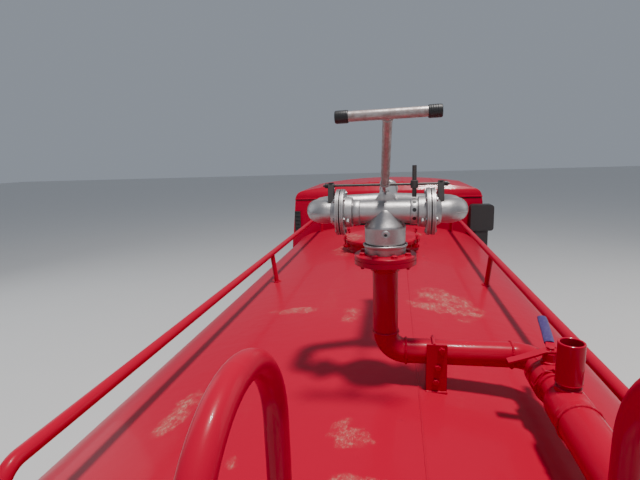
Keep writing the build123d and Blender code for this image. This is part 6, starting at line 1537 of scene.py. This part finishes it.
def fuel_tank_fittings():
    """Filler cap with its grips, the strap tighteners and the tank's end seams."""
    cap = Vector((0.78, -0.12, 0.815))
    profile = [(0.0, 0.046), (0.004, 0.048), (0.024, 0.047), (0.028, 0.042), (0.029, 0.012)]
    grips = [lathe(cap, Z, profile, 48)]
    for _, out in around(12, X, Y):
        grips.append(tube([cap + out * 0.047 + Z * 0.004, cap + out * 0.047 + Z * 0.024], 0.0035, 6))
    piece("fuel_filler_cap", "chassis", CAP, grips)
    straps = []
    for y in (-0.65, -0.2):
        for x, z in ((0.912, 0.7), (0.912, 0.52)):
            bow = [(x - 0.004, y, z - 0.045), (x, y, z), (x - 0.004, y, z + 0.045)]
            straps.append(tube(bow, 0.006, 12))
    for y in (-0.797, -0.053):
        seam = closed([(x, y, z) for x, z in box_corners(0.438, 0.892, 0.438, 0.782)], 0.062, 8)
        straps.append(tube(seam, 0.0055, 8, loop=True))
    piece("fuel_tank_seams", "chassis", STEEL, straps)


def battery_box_fittings():
    """Lid with its catches and handle."""
    catches = []
    for y in (-0.26, 0.01):
        catches.append(block((-0.895, y - 0.014, 0.7), (-0.886, y + 0.014, 0.775)))
        catches.append(tube([(-0.894, y - 0.01, 0.706), (-0.901, y, 0.704), (-0.894, y + 0.01, 0.706)],
                            0.003, 8))
    handle = [(x, y, 0.775) for x, y in ((-0.886, -0.165), (-0.912, -0.165), (-0.912, -0.085),
                                         (-0.886, -0.085))]
    catches.append(tube(rounded(handle, 0.01, 5), 0.0045, 10))
    piece("battery_lid", "chassis", BLACK, [block((-0.886, -0.356, 0.758), (-0.424, 0.106, 0.7965))],
          bevel=0.005)
    piece("battery_catches", "chassis", STEEL, catches, bevel=0.0008)


def reservoir_fittings():
    """Plugs and weld rings at both ends, and the drain below."""
    fittings = []
    for y, way in ((-0.95, -1), (-0.4, 1)):
        fittings += hex_bolt(RESERVOIR + Y * y, Y * way, 0.03, 0.016)
        fittings.append(hoop(RESERVOIR + Y * (y - way * 0.036), Y, 0.1255, 0.003, 64, 6, 0.15))
    fittings += hex_bolt(RESERVOIR + Vector((0.0, DRAIN, -0.124)), -Z, 0.026, 0.014)
    fittings.append(tube([RESERVOIR + Vector((0.0, DRAIN, down)) for down in (-0.138, -0.162)], 0.004, 10))
    piece("reservoir_fittings", "chassis", STEEL, fittings, bevel=0.0008)


def guard_fittings():
    """Bolts and lamps of the side guards."""
    lamps, bolts = [], []
    for side in (-1, 1):
        for y in (-1.0, 0.25, 1.3):
            for z in (0.47, 0.69):
                bolts += hex_bolt((side * GUARD_FACE, y, z), X * side, 0.016, 0.007)
        for y in (-0.62, 0.7):
            outline = box_corners(-0.048, 0.048, -0.018, 0.018)
            lens = closed([(side * (GUARD_FACE - 0.0005), y + along, 0.69 + up) for along, up in outline],
                          0.012)
            lamps.append(plate(lens, X * (side * 0.009)))
    piece("guard_bolts", "chassis", STEEL, bolts, bevel=0.0006)
    piece("side_lamps", "chassis", AMBER, lamps, bevel=0.0015)


def axle_fittings():
    """Cover and nose bolts of the rear axle, yokes of the prop shaft, kingpin caps and brake drums."""
    middle = Vector((0.0, REAR_AXLE, AXLE))
    bolts = bolt_ring(middle - Y * 0.118, -Y, X, Z, 0.088, 12, 0.0, 0.015, 0.008)
    bolts += bolt_ring(middle + Y * 0.253, Y, X, Z, 0.048, 8, 0.5, 0.012, 0.006, False)
    piece("axle_cover", "chassis", BLACK, [
        lathe(middle, -Y, [(0.09, 0.11), (0.118, 0.104), (0.1185, 0.072), (0.14, 0.062), (0.156, 0.036),
                           (0.16, 0.01)], 48)])
    piece("axle_bolts", "chassis", STEEL, bolts, bevel=0.0006)
    start, end = Vector((0.0, 1.2, 0.6)), middle + Vector((0.0, 0.262, 0.008))
    way = (end - start).normalized()
    yokes = []
    for at in (start + way * 0.05, end - way * 0.04):
        yokes.append(lathe(at, way, both_ways([(0.0, 0.05), (0.02, 0.05), (0.026, 0.044)]), 32))
        for across in (X, way.cross(X).normalized()):
            yokes.append(lathe(at, across, both_ways([(0.0, 0.014), (0.056, 0.014), (0.058, 0.011)]), 20))
    joint = both_ways([(0.0, 0.046), (0.06, 0.046), (0.066, 0.043)])
    yokes.append(lathe(start.lerp(end, 0.45), way, joint, 36))
    piece("prop_shaft_yokes", "chassis", BLACK, yokes)
    for side, word in SIDES:
        caps = [lathe((side * 0.68, FRONT_AXLE, AXLE + end * 0.088), Z * end,
                      [(0.0, 0.03), (0.006, 0.03), (0.01, 0.024), (0.011, 0.008)], 28) for end in (-1, 1)]
        piece(f"kingpin_caps_{word}", f"{word}_knuckle", BLACK, caps)
        drum = lathe((side * 0.762, FRONT_AXLE, AXLE), X * side, [
            (0.0, 0.06), (0.001, 0.158), (0.004, 0.163), (0.012, 0.163), (0.016, 0.158), (0.078, 0.156),
            (0.094, 0.15), (0.098, 0.09)], 64)
        piece(f"front_drum_{word}", f"{word}_front_wheel", BLACK, [drum])
        drum = lathe((side * 0.52, REAR_AXLE, AXLE), X * side, [
            (0.0, 0.08), (0.001, 0.16), (0.004, 0.165), (0.012, 0.165), (0.016, 0.16), (0.128, 0.158),
            (0.14, 0.15), (0.142, 0.09)], 64)
        piece(f"rear_drum_{word}", f"{word}_rear_wheels", BLACK, [drum])


spring_clamps()
dampers()
brake_chambers()
air_lines()
frame_bolts()
fuel_tank_fittings()
battery_box_fittings()
reservoir_fittings()
guard_fittings()
axle_fittings()


# Tail: checker plate, lamps, flaps, pump fittings and the tank's level tube

DECK = 0.8
LAMP_BAR = -3.1795
UNDERRUN_FACE = -3.1985
FLAP = 0.752
FLAP_HALF = 0.25
# Middle of the pump: the height of its shaft, manifold and outlets
PUMP_HEIGHT = 0.53
VOLUTE = Vector((0.16, -2.56, PUMP_HEIGHT))
OUTLETS = (-0.29, 0.2)
OUTLET_FACE = -3.07
OUTLET_STEM = -2.9985
LEVEL_TUBE = -0.56


def lozenge(x, y, way):
    """One raised lozenge of the checker plate, pointing one way or the other."""
    long, wide, high, base = 0.013, 0.004, 0.0016, DECK
    dx, dy = long * 0.7071, long * 0.7071 * way
    nx, ny = -wide * 0.7071 * way, wide * 0.7071
    points = [Vector((x - dx, y - dy, base)), Vector((x + nx, y + ny, base)),
              Vector((x + dx, y + dy, base)), Vector((x - nx, y - ny, base)),
              Vector((x - dx * 0.5, y - dy * 0.5, base + high)),
              Vector((x + dx * 0.5, y + dy * 0.5, base + high))]
    return points, [(0, 3, 5, 4), (3, 2, 5), (2, 1, 5), (1, 0, 4, 5), (3, 0, 1, 2)]


def checker_plate():
    """Raised pattern on the deck, left out round the pipe."""
    pattern = []
    for row in range(11):
        for column in range(63):
            x, y = -0.93 + 0.03 * column, -3.13 + 0.031 * row
            if math.hypot(x - LONG_PIPE, y - DROP_PIPE) >= 0.075:
                pattern.append(lozenge(x, y, 1 if (row + column) % 2 else -1))
    piece("checker_plate", "chassis", RED, pattern)


def tail_details():
    """Lamp lenses with their bezels, reflectors and the underrun bar's ends and bolts."""
    clear, amber, bezels = [], [], []
    for side in (-1, 1):
        for group, low, high in ((clear, 0.652, 0.712), (amber, 0.828, 0.888)):
            outline = [(side * x, LAMP_BAR, z) for x, z in box_corners(low, high, 0.712, 0.776)]
            group.append(plate(closed(outline, 0.012), (0.0, -0.0045, 0.0)))
        rim = closed([(side * x, LAMP_BAR + 0.0235, z) for x, z in box_corners(0.636, 0.904, 0.696, 0.792)],
                     0.024)
        bezels.append(tube(rim, 0.006, 8, loop=True))
    piece("tail_lamp_clear", "chassis", CLEAR, clear, bevel=0.0012)
    piece("tail_lamp_amber", "chassis", AMBER, amber, bevel=0.0012)
    piece("tail_lamp_bezels", "chassis", PLASTIC, bezels)
    dots = [lathe((side * x, -3.15, 0.744), -Y, [(0.0, 0.026), (0.006, 0.025), (0.009, 0.018)], 32)
            for side in (-1, 1) for x in (0.43, 0.56)]
    piece("tail_reflectors", "chassis", TAIL, dots)
    ends = []
    for side in (-1, 1):
        ends.append(block((side * 0.955, UNDERRUN_FACE, 0.352), (side * 0.968, -3.1115, 0.438)))
        for z in (0.376, 0.414):
            ends += hex_bolt((side * 0.42, UNDERRUN_FACE, z), -Y, 0.018, 0.0012, False)
    piece("underrun_ends", "chassis", CAP, ends, bevel=0.003)


def mud_flaps():
    """Rubber flaps behind the rear wheels, each under a bolted strip."""
    flaps, strips = [], []
    for side in (-1, 1):
        low, high = side * FLAP - FLAP_HALF, side * FLAP + FLAP_HALF
        flaps.append(skin([[Vector(corner) for corner in (
            (low, y, z), (high, y, z), (high, y - 0.004, z), (low, y - 0.004, z))]
                           for y, z in ((-2.0475, 0.56), (-2.048, 0.45), (-2.052, 0.33))]))
        strips.append(block((low, -2.056, 0.53), (high, -2.0515, 0.556)))
        for step in range(5):
            strips += hex_bolt((side * FLAP - 0.2 + 0.1 * step, -2.056, 0.543), -Y, 0.013, 0.005)
    piece("mud_flaps", "chassis", RUBBER, flaps)
    piece("mud_flap_strips", "chassis", STEEL, strips, bevel=0.0006)


def coupling(at):
    """Outlet coupling: its turned ring, the seal and two claws."""
    ring = [(-0.006, 0.036), (-0.006, 0.048), (-0.002, 0.051), (0.004, 0.053), (0.01, 0.053),
            (0.014, 0.0505)]
    forms = [lathe(at, Y, ring, 56), hoop(at - Y * 0.005, Y, 0.04, 0.004, 48, 8)]
    for turn in (0.6, 0.6 + math.pi):
        out = X * math.cos(turn) + Z * math.sin(turn)
        across = X * -math.sin(turn) + Z * math.cos(turn)
        forms.append(plate([at + out * 0.047 - across * 0.014, at + out * 0.06 - across * 0.009,
                            at + out * 0.06 + across * 0.012, at + out * 0.047 + across * 0.016],
                           -Y * 0.014))
    return forms


def pump_details():
    """Bolts and covers of the manifold and volute, the outlets' couplings and wheels, and the gauge."""
    bolts, rings, claws, hubs = [], [], [], []
    for x, way in ((-0.506, 1), (0.586, -1)):
        bolts += bolt_ring(Vector((x, DROP_PIPE, PUMP_HEIGHT)), X * way, Y, Z, 0.067, 8, 0.5, 0.014, 0.007)
    for x, way in ((-0.52, -1), (0.6, 1)):
        rings.append(lathe((x, DROP_PIPE, PUMP_HEIGHT), X * way,
                           [(-0.001, 0.079), (0.012, 0.079), (0.014, 0.077), (0.016, 0.04), (0.02, 0.034)],
                           56))
    bolts += bolt_ring(VOLUTE, -Y, X, Z, 0.138, 12, 0.0, 0.016, 0.008)
    rings.append(hoop(VOLUTE + Y * 0.06, Y, 0.161, 0.007, 96, 8))
    rings.append(lathe(VOLUTE, -Y, [(-0.001, 0.12), (0.01, 0.118), (0.022, 0.09), (0.034, 0.06),
                                    (0.04, 0.0505)], 56))
    for x in OUTLETS:
        rings.append(lathe((x, DROP_PIPE, PUMP_HEIGHT), -Y,
                           [(0.05, 0.06), (0.06, 0.06), (0.062, 0.058), (0.064, 0.0385)], 48))
        claws += coupling(Vector((x, OUTLET_FACE, PUMP_HEIGHT)))
        stem = Vector((x, OUTLET_STEM, 0.642))
        hubs.append(lathe(stem, Z, [(-0.01, 0.014), (0.006, 0.014), (0.008, 0.01), (0.009, 0.004)], 20))
        hubs.append(tube([stem - X * 0.036, stem + X * 0.036], 0.0042, 8))
        hubs.append(lathe((x, OUTLET_STEM, 0.568), Z,
                          [(0.0, 0.024), (0.02, 0.022), (0.024, 0.015), (0.05, 0.013), (0.052, 0.01)], 28))
    piece("pump_bolts", "chassis", STEEL, bolts, bevel=0.0006)
    piece("pump_rings", "chassis", PUMP, rings)
    piece("coupling_claws", "chassis", SILVER, claws, bevel=0.001)
    piece("outlet_wheel_hubs", "chassis", BLACK, hubs)
    gauge = Vector((-0.05, DROP_PIPE, 0.586))
    piece("pump_gauge", "chassis", RIM, [
        lathe(gauge, Z, [(0.0, 0.009), (0.044, 0.009)], 16),
        lathe(gauge + Vector((0.0, 0.01, 0.066)), -Y,
              [(0.0, 0.024), (0.002, 0.03), (0.022, 0.031), (0.025, 0.028), (0.0252, 0.012)], 40)])


def level_tube():
    """Sight tube for the water level on the tank's tail, with its two elbows."""
    x, out = LEVEL_TUBE, TANK_REAR - 0.034
    piece("level_tube", "chassis", GLASS, [tube([(x, out, 1.04), (x, out, 1.62)], 0.0095, 20)])
    ends = []
    for z, way in ((1.03, -1), (1.63, 1)):
        elbow = [(x, TANK_REAR + 0.002, z), (x, out, z), (x, out, z - way * 0.03)]
        ends.append(tube(rounded(elbow, 0.012, 5), 0.0125, 18))
        ends += hex_bolt((x, TANK_REAR - 0.001, z), -Y, 0.036, 0.01, False)
        ends += hex_bolt((x, out, z - way * 0.018), -Z * way, 0.03, 0.012, False)
    piece("level_tube_ends", "chassis", STEEL, ends)


checker_plate()
tail_details()
mud_flaps()
pump_details()
level_tube()


# CAD nodes that stay, with their finishes

dress(RED, "water_tank", "tank_subframe", "manhole_neck", "manhole_lid", "handrails", "ladder",
      "monitor_riser", "delivery_pipe", "cab_roof", "cab_body", "door_left", "door_right", "rear_platform",
      "front_bumper")
dress(BLACK, "chassis_frame", "front_axle", "rear_axle", "leaf_springs", "battery_box", "side_guards",
      "knuckle_left", "knuckle_right", "tie_rod", "drive_line")
dress(STEEL, "fuel_tank")
dress(ENGINE, "engine")
dress(PUMP, "pump", "valve_lever")
dress(SILVER, "monitor_base", "monitor_swivel", "monitor_barrel")
dress(BAR, "monitor_handle")
dress(RUBBER, "front_tyre_left", "front_tyre_right", "rear_tyres_left", "rear_tyres_right")
dress(RIM, "front_rim_left", "front_rim_right", "rear_rims_left", "rear_rims_right")
dress(GLASS, "cab_glass", "door_glass_left", "door_glass_right")
dress(PLASTIC, "grille", "snorkel", "mirrors", "steering_wheel", "rear_mudguards", "front_mudguards",
      "cab_vents")
dress(DASH, "dashboard")
dress(CLOTH, "seats")
dress(CLEAR, "headlamps")
dress(TAIL, "tail_lamps")


# Floor, backdrop and lights

FLOOR_REACH = 60.0
FLOOR_DOWN = -0.0005
SKY_COLOUR = (0.74, 0.82, 0.95, 1.0)
SKY_STRENGTH = 0.36
# Name, place, aim, size in metres, watts and colour of each light
LIGHTS = (
    ("key_light", (1.4, -2.8, 11.5), (0.0, -1.6, 1.8), 0.9, 1250.0, (1.0, 0.96, 0.93)),
    ("side_light", (8.0, 3.0, 5.0), (0.0, 0.0, 1.2), 6.0, 130.0, (1.0, 0.98, 0.95)),
    ("fill_light", (-8.0, 2.0, 5.0), (0.0, 0.0, 1.2), 6.0, 110.0, (0.9, 0.95, 1.0)),
    ("rear_light", (0.0, -9.0, 4.0), (0.0, -2.0, 1.4), 5.0, 50.0, (1.0, 1.0, 1.0)),
)


def studio():
    """Plain floor, pale sky and area lights that stand for the sun and its bounce."""
    ground = Finish("studio_floor", (0.74, 0.73, 0.71), 0.75)
    ground.tint(ground.grain(0.8, 3.0).between(0.3, 0.7) * 0.25, (0.7, 0.69, 0.675))
    mesh = bpy.data.meshes.new("studio_floor")
    plan = box_corners(-FLOOR_REACH, FLOOR_REACH, -FLOOR_REACH, FLOOR_REACH)
    corners = [(x, y, FLOOR_DOWN) for x, y in plan]
    mesh.from_pydata(corners, [], [(0, 1, 2, 3)])
    mesh.materials.append(ground.material)
    floor = bpy.data.objects.new("studio_floor", mesh)
    bpy.context.scene.collection.objects.link(floor)
    world = bpy.data.worlds.new("studio_sky")
    bpy.context.scene.world = world
    world.use_nodes = True
    sky = world.node_tree.nodes["Background"]
    sky.inputs["Color"].default_value = SKY_COLOUR
    sky.inputs["Strength"].default_value = SKY_STRENGTH
    for name, place, aim, size, watts, tone in LIGHTS:
        data = bpy.data.lights.new(name, "AREA")
        data.size, data.energy, data.color = size, watts, tone
        light = bpy.data.objects.new(name, data)
        light.location = place
        light.rotation_mode = "QUATERNION"
        light.rotation_quaternion = (Vector(aim) - Vector(place)).to_track_quat("-Z", "Y")
        bpy.context.scene.collection.objects.link(light)


studio()
